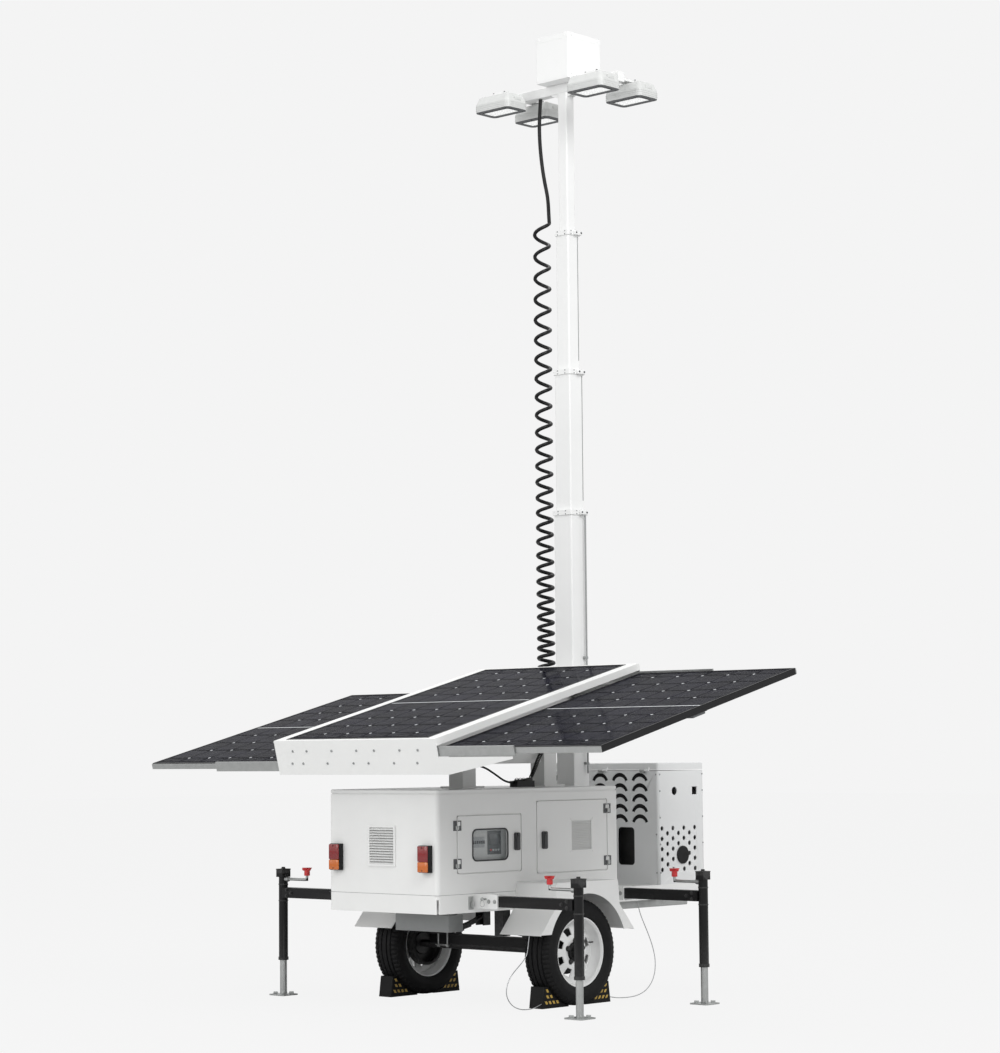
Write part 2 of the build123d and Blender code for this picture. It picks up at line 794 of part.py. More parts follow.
# Mast: four square tubes, each with a guide collar at its top
mast_bottom = deck_top + mast_foot
for stage, width in enumerate(mast_widths):
    lowered_top = mast_base_top + stage * (collar_height + collar_gap)
    stage_top = lowered_top + stage * mast_travel
    stage_bottom = mast_bottom + stage * (mast_step + mast_travel)
    collar_width = width + 2 * collar_lip
    inner = width - 2 * mast_wall
    guide_width = mast_widths[stage + 1] + 2 * guide_gap if stage < 3 else inner
    with BuildPart() as tube:
        with BuildSketch(Plane.XY.offset(stage_bottom)):
            with Locations((along(mast_x), 0)):
                RectangleRounded(width, width, mast_corner)
                RectangleRounded(inner, inner, mast_corner - mast_wall, mode=Mode.SUBTRACT)
        extrude(amount=stage_top - stage_bottom)
        if stage < 3:
            with BuildSketch(Plane.XY.offset(stage_top - collar_height)):
                with Locations((along(mast_x), 0)):
                    RectangleRounded(collar_width, collar_width, mast_corner)
                    RectangleRounded(guide_width, guide_width, mast_corner, mode=Mode.SUBTRACT)
            extrude(amount=collar_height)
        if stage == 0:
            with BuildSketch(Plane.XY.offset(deck_top)):
                with Locations((along(mast_x), 0)):
                    Rectangle(mast_foot_size, mast_foot_size)
            extrude(amount=mast_foot)
    save(tube.part, f"mast_stage_{stage + 1}")
    head_z = stage_top

# Lamp head
bar_z = head_z + bar_size / 2
lamp_top = head_z + head_lamp_rise
lamp_base = lamp_top - head_lamp_size[2]
lamp_spots = [
    (along(mast_x + end * head_lamp_x), side * head_lamp_y) for side in (-1, 1) for end in (-1, 1)
]
with BuildPart() as lamp_crossbar:
    with BuildSketch(Plane.XZ.offset(-bar_length / 2)):
        with Locations((along(mast_x), bar_z)):
            RectangleRounded(bar_size, bar_size, 5)
    extrude(amount=bar_length)
    with BuildSketch(Plane.XY.offset(head_z + head_plate_rise)):
        with Locations(*[(along(mast_x), side * head_lamp_y) for side in (-1, 1)]):
            Rectangle(2 * head_lamp_x + head_block_size[0], head_plate_width)
    extrude(amount=head_plate_sheet)
    with BuildSketch(Plane.XY.offset(lamp_top)):
        with Locations(*lamp_spots):
            Rectangle(*head_block_size)
    extrude(amount=head_plate_rise - head_lamp_rise)
save(lamp_crossbar.part, "lamp_crossbar")

lamp_opening = (head_lamp_size[0] - 2 * head_lamp_ring, head_lamp_size[1] - 2 * head_lamp_ring)
with BuildPart() as lamp_housings:
    with BuildSketch(Plane.XY.offset(lamp_base)):
        with Locations(*lamp_spots):
            RectangleRounded(head_lamp_size[0], head_lamp_size[1], head_lamp_corner)
    extrude(amount=head_lamp_rim)
    with BuildSketch(Plane.XY.offset(lamp_base + head_lamp_rim)):
        with Locations(*lamp_spots):
            RectangleRounded(head_lamp_size[0], head_lamp_size[1], head_lamp_corner)
    extrude(amount=head_lamp_size[2] - head_lamp_rim, taper=head_lamp_taper)
    with BuildSketch(Plane.XY.offset(lamp_base)):
        with Locations(*lamp_spots):
            RectangleRounded(*lamp_opening, head_lamp_corner - head_lamp_ring)
    extrude(amount=head_lens, mode=Mode.SUBTRACT)
save(lamp_housings.part, "lamp_housings")

with BuildPart() as lamp_lenses:
    with BuildSketch(Plane.XY.offset(lamp_base)):
        with Locations(*lamp_spots):
            RectangleRounded(*lamp_opening, head_lamp_corner - head_lamp_ring)
    extrude(amount=head_lens)
save(lamp_lenses.part, "lamp_lenses")

with BuildPart() as top_box:
    with Locations((along(mast_x + top_box_x), 0, head_z + bar_size + top_box_size[2] / 2)):
        Box(*top_box_size)
    fillet(top_box.edges().filter_by(Axis.Z), radius=8)
save(top_box.part, "top_box")

# Generator housing: open-topped shell on the deck, with its lid
gen_mid = along((gen_x1 + gen_x2) / 2)
crescent = []
for edge, turn in ((1, 1), (-1, -1)):
    edge_radius = crescent_radius + edge * crescent_band / 2
    for step in range(crescent_steps + 1):
        angle = radians(90 + turn * crescent_angle * (step / crescent_steps - 0.5))
        crescent.append((edge_radius * cos(angle), edge_radius * sin(angle)))
with BuildPart() as generator_housing:
    with BuildSketch(Plane.XY.offset(deck_top)):
        with Locations((gen_mid, 0)):
            RectangleRounded(gen_length, cab_width, gen_corner)
    extrude(amount=lid_z - deck_top)
    with BuildSketch(Plane.XY.offset(deck_top + gen_sheet)):
        with Locations((gen_mid, 0)):
            Rectangle(gen_length - 2 * gen_sheet, cab_width - 2 * gen_sheet)
    extrude(amount=lid_z - deck_top, mode=Mode.SUBTRACT)
    with BuildSketch(Plane.YZ.offset(along(gen_x1 - 1))):
        with Locations((-half_cab + gen_window_inset, gen_window_z)):
            RectangleRounded(gen_window[1], gen_window[0], gen_window_corner)
        for grid in GridLocations(*crescent_pitch, *crescent_counts):
            spot_y = crescent_y + grid.position.X
            spot_z = crescent_z + grid.position.Y
            with BuildLine():
                Polyline(*[(spot_y + y, spot_z + z) for y, z in crescent], close=True)
            make_face()
    extrude(amount=gen_sheet + 2, mode=Mode.SUBTRACT)
    with BuildSketch(Plane.XZ.offset(half_cab - gen_sheet - 1)):
        for column in range(hole_columns):
            hole_x = gen_x1 + hole_start[0] + column * hole_pitch[0]
            for row in range(5 - column % 2):
                hole_z = hole_start[1] + (row + (column % 2) / 2) * hole_pitch[1]
                reach = ((hole_x - gen_x1 - exhaust_x) ** 2 + (hole_z - exhaust_z) ** 2) ** 0.5
                if reach > exhaust_radius + hole_radius:
                    with Locations((along(hole_x), hole_z)):
                        Circle(hole_radius)
        with Locations((along(gen_x1 + round_port[0]), round_port[1])):
            Circle(round_port[2])
        with Locations((along(gen_x1 + square_port[0]), square_port[1])):
            Rectangle(square_port[2], square_port[2])
    extrude(amount=gen_sheet + 2, mode=Mode.SUBTRACT)
save(generator_housing.part, "generator_housing")

with BuildPart() as generator_lid:
    with BuildSketch(Plane.XY.offset(lid_z + lid_gap)):
        with Locations((gen_mid, 0)):
            RectangleRounded(gen_length, cab_width, gen_corner)
    extrude(amount=lid_height - lid_gap)
    with BuildSketch(Plane.XY.offset(lid_z)):
        with Locations((gen_mid, 0)):
            Rectangle(gen_length - 2 * gen_sheet, cab_width - 2 * gen_sheet)
    extrude(amount=lid_height - gen_sheet, mode=Mode.SUBTRACT)
    fillet(generator_lid.faces().sort_by(Axis.Z)[-1].edges(), radius=5)
    for side in (-1, 0, 1):
        with BuildSketch(Plane.XZ.offset(-(side * lid_hinge_y - pin_gap))):
            with Locations((lid_pin_x, lid_pin_z)):
                Circle(hinge_radius)
            with Locations((lid_pin_x + hinge_stand / 2, lid_pin_z + door_leaf_offset)):
                Rectangle(hinge_stand, door_leaf_width)
        extrude(amount=lid_hinge_length / 2 - pin_gap)
save(generator_lid.part, "generator_lid")

generator_end_gap = 79
generator_side_gap = 196
generator_height = 400
with BuildPart() as generator_block:
    with Locations((gen_mid, 0, deck_top + gen_sheet + generator_height / 2)):
        Box(
            gen_length - 2 * gen_sheet - 2 * generator_end_gap,
            cab_width - 2 * gen_sheet - 2 * generator_side_gap,
            generator_height,
        )
save(generator_block.part, "generator_block")

with BuildPart() as generator_exhaust:
    with BuildSketch(Plane.XZ.offset(half_cab)):
        with Locations((along(gen_x1 + exhaust_x), exhaust_z)):
            Circle(exhaust_radius)
            Circle(exhaust_radius - exhaust_ring, mode=Mode.SUBTRACT)
    extrude(amount=exhaust_depth)
save(generator_exhaust.part, "generator_exhaust")

# Solar array, built in its own tilted plane: x up the slope, y to the left, z off the face
def array_plane(drop):
    """Plane at a depth below the top of the array's frame, starting at its rear edge."""
    return Plane(
        origin=(along(array_rear) + drop * sin(slope), 0, array_z - drop * cos(slope)),
        x_dir=(cos(slope), 0, sin(slope)),
        z_dir=(-sin(slope), 0, cos(slope)),
    )


frame_half = module_width / 2 + array_rail
module_mid = module_length / 2
well_width = module_width + 2 * laminate_gap
with BuildPart() as array_frame:
    with BuildSketch(array_plane(array_rail_depth)):
        with Locations((module_mid, 0)):
            Rectangle(module_length + 2 * end_reach, 2 * frame_half)
            Rectangle(module_length + 2 * laminate_gap, well_width, mode=Mode.SUBTRACT)
    extrude(amount=array_rail_depth)
    with BuildSketch(array_plane(array_rail_depth)):
        with Locations((module_mid, 0)):
            Rectangle(module_length, 2 * frame_half - 2 * array_sheet)
            Rectangle(module_length, well_width + 2 * array_sheet, mode=Mode.SUBTRACT)
    extrude(amount=array_rail_depth - array_sheet, mode=Mode.SUBTRACT)
    with BuildSketch(array_plane(array_end_depth)):
        for end in (-1, 1):
            with Locations((module_mid + end * (module_mid + end_reach - array_sheet / 2), 0)):
                Rectangle(array_sheet, 2 * frame_half)
    extrude(amount=array_end_depth)
    with BuildSketch(array_plane(array_end_depth)):
        for end in (-1, 1):
            with Locations((module_mid + end * (module_mid + end_reach - array_end_flange / 2), 0)):
                Rectangle(array_end_flange, 2 * (frame_half - flange_inset))
    extrude(amount=array_sheet)
    for start in (-end_reach, module_length + end_reach - array_sheet):
        gusset_plane = Plane(
            origin=array_plane(0).from_local_coords((start, 0, 0)),
            x_dir=(0, 1, 0),
            z_dir=(cos(slope), 0, sin(slope)),
        )
        with BuildSketch(gusset_plane):
            with BuildLine():
                Polyline(
                    (-frame_half, -gusset_drop),
                    (-gusset_end, -gusset_drop),
                    (-gusset_end, -gusset_drop - gusset_tip),
                    (-frame_half - gusset_foot, -array_end_depth),
                    (-frame_half, -array_end_depth),
                    close=True,
                )
            make_face()
        extrude(amount=array_sheet)
save(array_frame.part, "array_frame")

spine_bottom = array_end_depth - array_sheet
spine_length = module_length - 2 * spine_gap
with BuildPart() as array_spine:
    with BuildSketch(array_plane(spine_bottom)):
        with Locations((module_mid, 0)):
            Rectangle(spine_length, spine_width)
    extrude(amount=spine_depth)
    with BuildSketch(array_plane(spine_bottom - spine_wall)):
        with Locations((module_mid, 0)):
            Rectangle(spine_length - 2 * spine_wall, spine_width - 2 * spine_wall)
    extrude(amount=spine_depth - 2 * spine_wall, mode=Mode.SUBTRACT)
save(array_spine.part, "array_spine")

post_x = [share * cab_length for share in post_shares]
with BuildPart() as array_posts:
    with BuildSketch(Plane.XY.offset(cab_top)):
        with Locations(*[(along(x), 0) for x in post_x]):
            Rectangle(post_size, post_size)
            Rectangle(post_size - 2 * post_wall, post_size - 2 * post_wall, mode=Mode.SUBTRACT)
    extrude(amount=post_reach)
    with BuildSketch(Plane.XY.offset(cab_top)):
        with Locations(*[(along(x), 0) for x in post_x]):
            Rectangle(post_plate[0], post_plate[0])
    extrude(amount=post_plate[1])
    with BuildSketch(Plane.YZ.offset(along(post_x[0] + post_size / 2))):
        with Locations((0, post_tie_z)):
            Rectangle(post_tie, post_tie)
            Rectangle(post_tie - 2 * post_wall, post_tie - 2 * post_wall, mode=Mode.SUBTRACT)
    extrude(amount=post_x[1] - post_x[0] - post_size)
    split(bisect_by=array_plane(spine_bottom), keep=Keep.BOTTOM)
save(array_posts.part, "array_posts")


def solar_module(level, centre_y):
    """Module with its frame standing below the laminate, open at the back."""
    with BuildPart() as module:
        with BuildSketch(array_plane(level + module_thickness)):
            with Locations((module_mid, centre_y)):
                Rectangle(module_length, module_width)
        extrude(amount=module_thickness)
        with BuildSketch(array_plane(level + module_thickness)):
            with Locations((module_mid, centre_y)):
                Rectangle(module_length - 2 * module_frame, module_width - 2 * module_frame)
        extrude(amount=module_thickness - laminate, mode=Mode.SUBTRACT)
    return module.part


save(solar_module(0, 0), "module_centre")

slide_starts = (0, slide_parts[0] + slide_gap, slide_parts[0] + slide_parts[1] + 2 * slide_gap)


def slide_rails(level, kind, y1, y2):
    """Two rails along Y at the ends of a drawer: kind 0 rides the module, 2 is fixed."""
    centre = level + module_thickness / 2
    height = slide_heights[kind]
    with BuildPart() as rails:
        with BuildSketch(array_plane(centre + height / 2)):
            for end in (-1, 1):
                start = module_mid + slide_starts[kind] + slide_parts[kind] / 2
                with Locations((module_mid + end * start, (y1 + y2) / 2)):
                    Rectangle(slide_parts[kind], abs(y2 - y1))
        extrude(amount=height)
    return rails.part


for side_name, side in (("left", 1), ("right", -1)):
    level = drawer_levels[side_name]
    save(solar_module(level, side * (drawer_edge - module_width / 2)), f"module_{side_name}")
    save(
        slide_rails(level, 0, side * (drawer_edge - module_width), side * drawer_edge),
        f"slide_inner_{side_name}",
    )
    save(
        slide_rails(level, 1, side * slide_mid_start, side * slide_mid_end),
        f"slide_mid_{side_name}",
    )

with BuildPart() as slide_fixed:
    add(slide_rails(drawer_levels["right"], 2, -frame_half, frame_half))
    add(slide_rails(drawer_levels["left"], 2, -frame_half, frame_half))
save(slide_fixed.part, "slide_fixed")

# Wheel chocks fore and aft of both wheels
with BuildPart() as wheel_chocks:
    for side in (-1, 1):
        for end in (-1, 1):
            with BuildSketch(Plane.XZ.offset(-(side * half_track + chock_width / 2))):
                with BuildLine():
                    Polyline(
                        (along(wheel_x + end * chock_toe), 0),
                        (along(wheel_x + end * chock_heel), 0),
                        (along(wheel_x + end * (chock_heel - chock_taper)), chock_height),
                        (along(wheel_x + end * chock_toe), chock_height),
                        close=True,
                    )
                make_face()
                with Locations((along(wheel_x), wheel_radius)):
                    Circle(wheel_radius + chock_gap, mode=Mode.SUBTRACT)
            extrude(amount=chock_width)
save(wheel_chocks.part, "wheel_chocks")

# Cords: each is a tube of one radius along a rounded route
rope_radius = 2.5
roof_cable_radius = 6
curl_radius = 14
rope_routes = {
    "rear": (
        (499, -655, 413.8), (492, -653, 360), (483, -651, 306), (440, -649, 264), (396, -647, 232),
        (354, -645, 198), (325, -643, 152), (320, -641, 100), (347, -640, 55), (392, -640, 24),
        (446, -640, 9), (502, -640, 6), (556, -640, 10), (611, -640, 28),
    ),
    "front": (
        (1706, -430, 545), (1712, -436, 488), (1732, -446, 430), (1756, -456, 372), (1777, -467, 313),
        (1789, -480, 254), (1788, -494, 194), (1768, -509, 137), (1731, -525, 91), (1683, -541, 57),
        (1628, -557, 33), (1569, -572, 18), (1508, -586, 10), (1447, -600, 7), (1386, -612, 8),
        (1320, -624, 11), (1254, -634, 17), (1189, -640, 28),
    ),
}
roof_plug_size = (150, 60, 36)
roof_plug_y = -110
roof_steps = ((1.1, -40, 110), (66, -46, 104), (136, -80, 56), (203, -110, 4), (264, -110, 4))
curl_steps = ((-185, -110, 10), (-123, -92, 72), (-66, -66, 127), (-9.1, -45, 168))
roof_plug_top = cab_top + roof_plug_size[2]
rear_post_face = post_x[0] + post_size / 2
front_post_face = post_x[1] - post_size / 2
roof_route = [
    (rear_post_face + x, y, roof_plug_top - roof_cable_radius - 8 + rise) for x, y, rise in roof_steps
]
curl_route = [(front_post_face + x, y, roof_plug_top + rise) for x, y, rise in curl_steps]


def corner_radii(points):
    """Radius at each corner of a route, from the shorter of its two runs and its turn."""
    radii = []
    for before, corner, after in zip(points, points[1:], points[2:]):
        run_in = Vector(*corner) - Vector(*before)
        run_out = Vector(*after) - Vector(*corner)
        turn = acos(min(1, run_in.dot(run_out) / (run_in.length * run_out.length)))
        radii.append(0.45 * min(run_in.length, run_out.length) / tan(turn / 2))
    return radii


def cord_tube(name, route, radius):
    """Tube along a route's points, which are measured from the cabinet's rear face."""
    points = [(along(x), y, z) for x, y, z in route]
    radii = corner_radii(points)
    print(name, "bend radii", [round(bend) for bend in radii])
    with BuildPart() as cord:
        with BuildLine() as path:
            FilletPolyline(*points, radius=radii)
        with BuildSketch(Plane(origin=path.line @ 0, z_dir=path.line % 0)):
            Circle(radius)
        sweep()
    return cord.part


with BuildPart() as chock_ropes:
    for rope_name, route in rope_routes.items():
        add(cord_tube(rope_name, route, rope_radius))
save(chock_ropes.part, "chock_ropes")
save(cord_tube("roof cable", roof_route, roof_cable_radius), "roof_cable")
save(cord_tube("roof curl", curl_route, curl_radius), "roof_curl")

# Mast cable: one fat tube for the curly stretch and a thin lead above it
cord_x = mast_x
cord_y = 210
coil_radius = 55
coil_bottom = deck_top + 60
coil_top = 4620
lead_radius = 10
with BuildPart() as mast_cord:
    with BuildSketch(Plane.XY.offset(coil_bottom)):
        with Locations((along(cord_x), cord_y)):
            Circle(coil_radius)
    extrude(amount=coil_top - coil_bottom)
save(mast_cord.part, "mast_cord")

with BuildPart() as mast_cord_lead:
    with BuildSketch(Plane.XY.offset(coil_top)):
        with Locations((along(cord_x), cord_y)):
            Circle(lead_radius)
    extrude(amount=head_z - coil_top)
save(mast_cord_lead.part, "mast_cord_lead")

with BuildPart() as cord_gland:
    with BuildSketch(Plane.XY.offset(deck_top)):
        with Locations((along(cord_x), cord_y)):
            RegularPolygon(26, 6)
    extrude(amount=30)
    with BuildSketch(Plane.XY.offset(deck_top + 30)):
        with Locations((along(cord_x), cord_y)):
            Circle(20)
    extrude(amount=30)
    with BuildSketch(Plane.XY.offset(cab_top)):
        with Locations((along(roof_route[-1][0] + roof_plug_size[0] / 2 + 0.3), roof_plug_y)):
            Rectangle(roof_plug_size[0], roof_plug_size[1])
    extrude(amount=roof_plug_size[2])
save(cord_gland.part, "cord_gland")
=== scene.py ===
import json
import math

import bmesh
import bpy
from mathutils import Matrix, Vector


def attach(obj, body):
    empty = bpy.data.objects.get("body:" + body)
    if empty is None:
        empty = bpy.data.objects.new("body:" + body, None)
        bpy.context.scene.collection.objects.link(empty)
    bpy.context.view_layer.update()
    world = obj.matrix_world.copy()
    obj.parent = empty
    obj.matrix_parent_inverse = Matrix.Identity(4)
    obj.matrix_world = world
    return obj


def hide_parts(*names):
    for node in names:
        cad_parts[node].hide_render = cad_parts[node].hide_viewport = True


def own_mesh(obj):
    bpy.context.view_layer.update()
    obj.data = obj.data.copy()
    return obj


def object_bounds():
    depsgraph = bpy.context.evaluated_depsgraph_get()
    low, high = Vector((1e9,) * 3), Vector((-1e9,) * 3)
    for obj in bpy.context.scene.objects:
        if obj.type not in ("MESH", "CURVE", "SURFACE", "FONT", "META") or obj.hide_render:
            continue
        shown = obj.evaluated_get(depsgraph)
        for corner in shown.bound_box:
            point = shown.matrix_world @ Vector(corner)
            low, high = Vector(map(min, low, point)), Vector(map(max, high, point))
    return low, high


# Dressed scene of the mobile light tower. Metres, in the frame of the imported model:
# +X towards the drawbar, +Y to the left, +Z up. gx() takes lengths ahead of the cabinet's rear.

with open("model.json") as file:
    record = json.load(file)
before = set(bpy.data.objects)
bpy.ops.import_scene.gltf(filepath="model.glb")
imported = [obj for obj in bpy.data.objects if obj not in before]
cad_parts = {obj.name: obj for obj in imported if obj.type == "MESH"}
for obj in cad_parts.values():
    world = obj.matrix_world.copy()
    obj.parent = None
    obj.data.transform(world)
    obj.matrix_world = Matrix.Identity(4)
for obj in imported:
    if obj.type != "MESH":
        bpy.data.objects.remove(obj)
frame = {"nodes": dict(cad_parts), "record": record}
cad_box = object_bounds()

REAR_OVERHANG = 0.233102


def gx(x):
    """Place along the row frame of a distance ahead of the cabinet's rear face."""
    return x + cad_box[0][0] + REAR_OVERHANG


def new_object(name, data):
    """An object of this data, linked to the scene."""
    obj = bpy.data.objects.new(name, data)
    bpy.context.scene.collection.objects.link(obj)
    return obj


# Places that several pieces share
WHEEL_X, WHEEL_Y, AXLE_Z = gx(0.9), 0.6, 0.3
MAST_X = gx(1.628)
WALL_Y = -0.432
DECK, HEAD = 0.629, 5.495
UP, DOWN, REARWARD, RIGHTWARD = (0, 0, 1), (0, 0, -1), (-1, 0, 0), (0, -1, 0)
CORNERS = ((-1, -1), (-1, 1), (1, -1), (1, 1))

# Planes for outlines: flat, seen from the right (X, Z), and seen from behind (Y, Z)
FLAT = Matrix.Identity(3)
SIDE = Matrix(((1, 0, 0), (0, 0, 1), (0, 1, 0)))
REAR = Matrix(((0, 0, 1), (1, 0, 0), (0, 1, 0)))

# Camera at the photograph's place, fitted to the modules, the mast, the jacks and the wheels
YAW, PITCH, ROLL = 0.7481, 0.0839, -0.0088
CAMERA_PLACE = (gx(-10.6179), -10.7772, 1.4360)
FOCAL_PIXELS, IMAGE_HEIGHT, SENSOR = 2676.52, 1053, 36
look = Vector((math.cos(YAW) * math.cos(PITCH), math.sin(YAW) * math.cos(PITCH), math.sin(PITCH)))
right = Vector((math.sin(YAW), -math.cos(YAW), 0))
up = right.cross(look)
cam_x = math.cos(ROLL) * right + math.sin(ROLL) * up
cam_y = -math.sin(ROLL) * right + math.cos(ROLL) * up
cam_data = bpy.data.cameras.new("camera")
cam = new_object("camera", cam_data)
turn = Matrix((cam_x, cam_y, -look)).transposed()
cam.matrix_world = Matrix.Translation(CAMERA_PLACE) @ turn.to_4x4()
cam_data.sensor_width = SENSOR
cam_data.lens = SENSOR * FOCAL_PIXELS / IMAGE_HEIGHT
cam_data.clip_end = 200
bpy.context.scene.camera = cam
bpy.context.scene.view_settings.view_transform = "Standard"


# Materials by name
M = {}


def material(name, **sockets):
    """A new node material and its principled shader. Coat_Weight stands for Coat Weight."""
    m = M[name] = bpy.data.materials.new(name)
    m.use_nodes = True
    shader = m.node_tree.nodes["Principled BSDF"]
    for key, value in sockets.items():
        shader.inputs[key.replace("_", " ")].default_value = value
    return m, shader


def node(m, kind, **values):
    """A node of this kind with its settings or inputs."""
    n = m.node_tree.nodes.new(kind)
    for key, value in values.items():
        if hasattr(n, key):
            setattr(n, key, value)
        else:
            n.inputs[key].default_value = value
    return n


def link(m, a, b):
    """Links an output socket to an input socket."""
    m.node_tree.links.new(a, b)


def ramp(m, source, stops):
    """Colour ramp over a value: two stops of (position, colour)."""
    r = node(m, "ShaderNodeValToRGB")
    link(m, source, r.inputs["Fac"])
    for element, (place, colour) in zip(r.color_ramp.elements, stops):
        element.position = place
        element.color = (*colour, 1)
    return r.outputs["Color"]


def noise(m, scale, detail=4, rough=0.5):
    """Noise over object coordinates."""
    n = node(m, "ShaderNodeTexNoise", Scale=scale, Detail=detail, Roughness=rough)
    link(m, node(m, "ShaderNodeTexCoord").outputs["Object"], n.inputs["Vector"])
    return n.outputs["Fac"]


def vary(m, shader, socket, pattern, low, high, places=(0.3, 0.7)):
    """Drives a socket between two values by noise. pattern is the noise's scale, detail and roughness."""
    if not isinstance(low, (list, tuple)):
        low, high = (low,) * 3, (high,) * 3
    link(m, ramp(m, noise(m, *pattern), list(zip(places, (low, high)))), shader.inputs[socket])


def bump(m, shader, scale, strength, distance):
    """Fine grain on the shader's normal."""
    b = node(m, "ShaderNodeBump", Strength=strength, Distance=distance)
    link(m, noise(m, scale, 2), b.inputs["Height"])
    link(m, b.outputs["Normal"], shader.inputs["Normal"])


def darker(colour, share):
    return [c * (1 - share) for c in colour]


def paint(name, colour, rough, grime, coat=0.25, wear=None, gloss=0.5):
    """Powder-coated or painted metal: slight orange peel, dusty patches, worn edges."""
    m, s = material(name, Coat_Weight=coat, Coat_Roughness=0.2, Specular_IOR_Level=gloss)
    out = ramp(m, noise(m, 2.2, 5, 0.6), [(0.35, darker(colour, grime)), (0.62, colour)])
    if wear:
        geo = node(m, "ShaderNodeNewGeometry")
        mask = node(m, "ShaderNodeMath", operation="MULTIPLY")
        link(m, ramp(m, geo.outputs["Pointiness"], [(0.53, (0, 0, 0)), (0.58, (1, 1, 1))]), mask.inputs[0])
        link(m, noise(m, 60, 3), mask.inputs[1])
        mix = node(m, "ShaderNodeMix", data_type="RGBA")
        link(m, mask.outputs[0], mix.inputs["Factor"])
        link(m, out, mix.inputs[6])
        mix.inputs[7].default_value = (*wear, 1)
        out = mix.outputs[2]
    link(m, out, s.inputs["Base Color"])
    vary(m, s, "Roughness", (14, 3), rough - 0.05, rough + 0.06)
    bump(m, s, 420, 0.12, 0.0002)


def metal(name, colour, rough):
    """Bare or plated metal with uneven polish."""
    m, s = material(name, Metallic=0.9)
    vary(m, s, "Base Color", (30, 4, 0.6), darker(colour, 0.12), colour)
    vary(m, s, "Roughness", (9, 3), rough - 0.08, rough + 0.1)
    bump(m, s, 300, 0.08, 0.0002)


def plain(name, colour, rough, scale=80, spread=0.15, grain=0.0003, **sockets):
    """Moulded plastic or rubber: fine mottling and grain."""
    m, s = material(name, Coat_Roughness=0.1, **sockets)
    vary(m, s, "Base Color", (scale, 4, 0.6), darker(colour, spread), colour, (0.3, 0.72))
    vary(m, s, "Roughness", (12, 3), rough - 0.06, rough + 0.06)
    bump(m, s, 500, 0.2, grain)


WEAR, WHITE = (0.07, 0.07, 0.07), (1, 1, 1, 1)
paint("white_body", (0.83, 0.835, 0.825), 0.38, 0.035)
paint("white_mast", (0.84, 0.845, 0.84), 0.34, 0.03)
paint("white_cowl", (0.75, 0.76, 0.76), 0.42, 0.04)
paint("box_white", (0.87, 0.875, 0.87), 0.36, 0.02)
paint("rim_white", (0.81, 0.815, 0.81), 0.36, 0.06)
paint("black_steel", (0.006, 0.006, 0.0065), 0.42, 0.1, 0.03, WEAR, 0.22)
paint("gold_stripe", (0.55, 0.36, 0.06), 0.4, 0.12)
metal("zinc", (0.46, 0.47, 0.465), 0.42)
metal("engine", (0.12, 0.12, 0.12), 0.6)
metal("wire", (0.50, 0.51, 0.52), 0.35)
plain("tyre", (0.009, 0.009, 0.0095), 0.66, 40, 0.3, 0.0006, Specular_IOR_Level=0.2)
plain("lamp_red", (0.25, 0.010, 0.012), 0.16, 8, 0.15, 0.00005, Coat_Weight=0.7)
plain("amber_lens", (0.62, 0.15, 0.015), 0.16, 8, 0.12, 0.00005, Coat_Weight=0.7)
plain("red_knob", (0.62, 0.018, 0.02), 0.26, 30, 0.1, Coat_Weight=0.5)
plain("battery", (0.10, 0.105, 0.11), 0.5)
plain("panel_black", (0.028, 0.029, 0.032), 0.34, Coat_Weight=0.2)
plain("lamp_body", (0.66, 0.67, 0.66), 0.42, 30, 0.06)
# The lens material's faint white emission is painted light: a glow that brightens the downward lenses, which sit in
# shade, and not light from the lamps
plain("lamp_lens", (0.86, 0.87, 0.86), 0.22, 20, 0.03, Coat_Weight=0.6, Emission_Color=WHITE, Emission_Strength=0.42)
plain("exhaust", (0.012, 0.012, 0.013), 0.55, 30, 0.3)
plain("module_frame", (0.006, 0.006, 0.007), 0.42, Specular_IOR_Level=0.25)
plain("chock_rubber", (0.007, 0.007, 0.007), 0.6, Specular_IOR_Level=0.2)
plain("cable_black", (0.005, 0.005, 0.0055), 0.42, Specular_IOR_Level=0.3)
plain("dark_grey", (0.10, 0.105, 0.11), 0.45)
plain("mid_grey", (0.30, 0.31, 0.31), 0.45, 20, 0.06)
plain("backsheet", (0.62, 0.64, 0.66), 0.4, 20, 0.04)
plain("cell_gap", (0.010, 0.010, 0.014), 0.4, 20, 0.06, IOR=1.03)
plain("breaker_grey", (0.45, 0.46, 0.47), 0.4, 20, 0.06)
plain("screen_black", (0.008, 0.009, 0.011), 0.12, 20, 0.1, 0.00003, Coat_Weight=0.8)
plain("seal_rubber", (0.035, 0.035, 0.037), 0.6)

# Silicon cells behind glass: nearly black blue, uneven tone cell by cell
m, s = material("solar_cell", IOR=1.03)
vary(m, s, "Base Color", (5, 2, 0.4), (0.003, 0.003, 0.007), (0.008, 0.008, 0.017), (0.35, 0.7))
vary(m, s, "Roughness", (30, 2), 0.10, 0.15)

# Clear pane: a faint tint with sharp reflections over a see-through body
m, s = material("window_glass", Base_Color=(0.60, 0.66, 0.68, 1), Alpha=0.10)
vary(m, s, "Roughness", (6, 2), 0.03, 0.06)


def slot_of(name):
    """The record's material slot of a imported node."""
    return next(p["material_slot"] for p in frame["record"]["subparts"] if p["node"] == name)


def box_of(name):
    """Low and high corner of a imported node."""
    obj = frame["nodes"][name]
    spots = [obj.matrix_world @ v.co for v in obj.data.vertices]
    return [Vector([pick(p[k] for p in spots) for k in range(3)]) for pick in (min, max)]


SLOT_LOOKS = {"module": "module_frame", "window": "window_glass"}
for name, obj in frame["nodes"].items():
    look_name = SLOT_LOOKS.get(slot_of(name), slot_of(name))
    for slot in obj.material_slots:
        slot.material = M["box_white" if name == "top_box" else look_name]


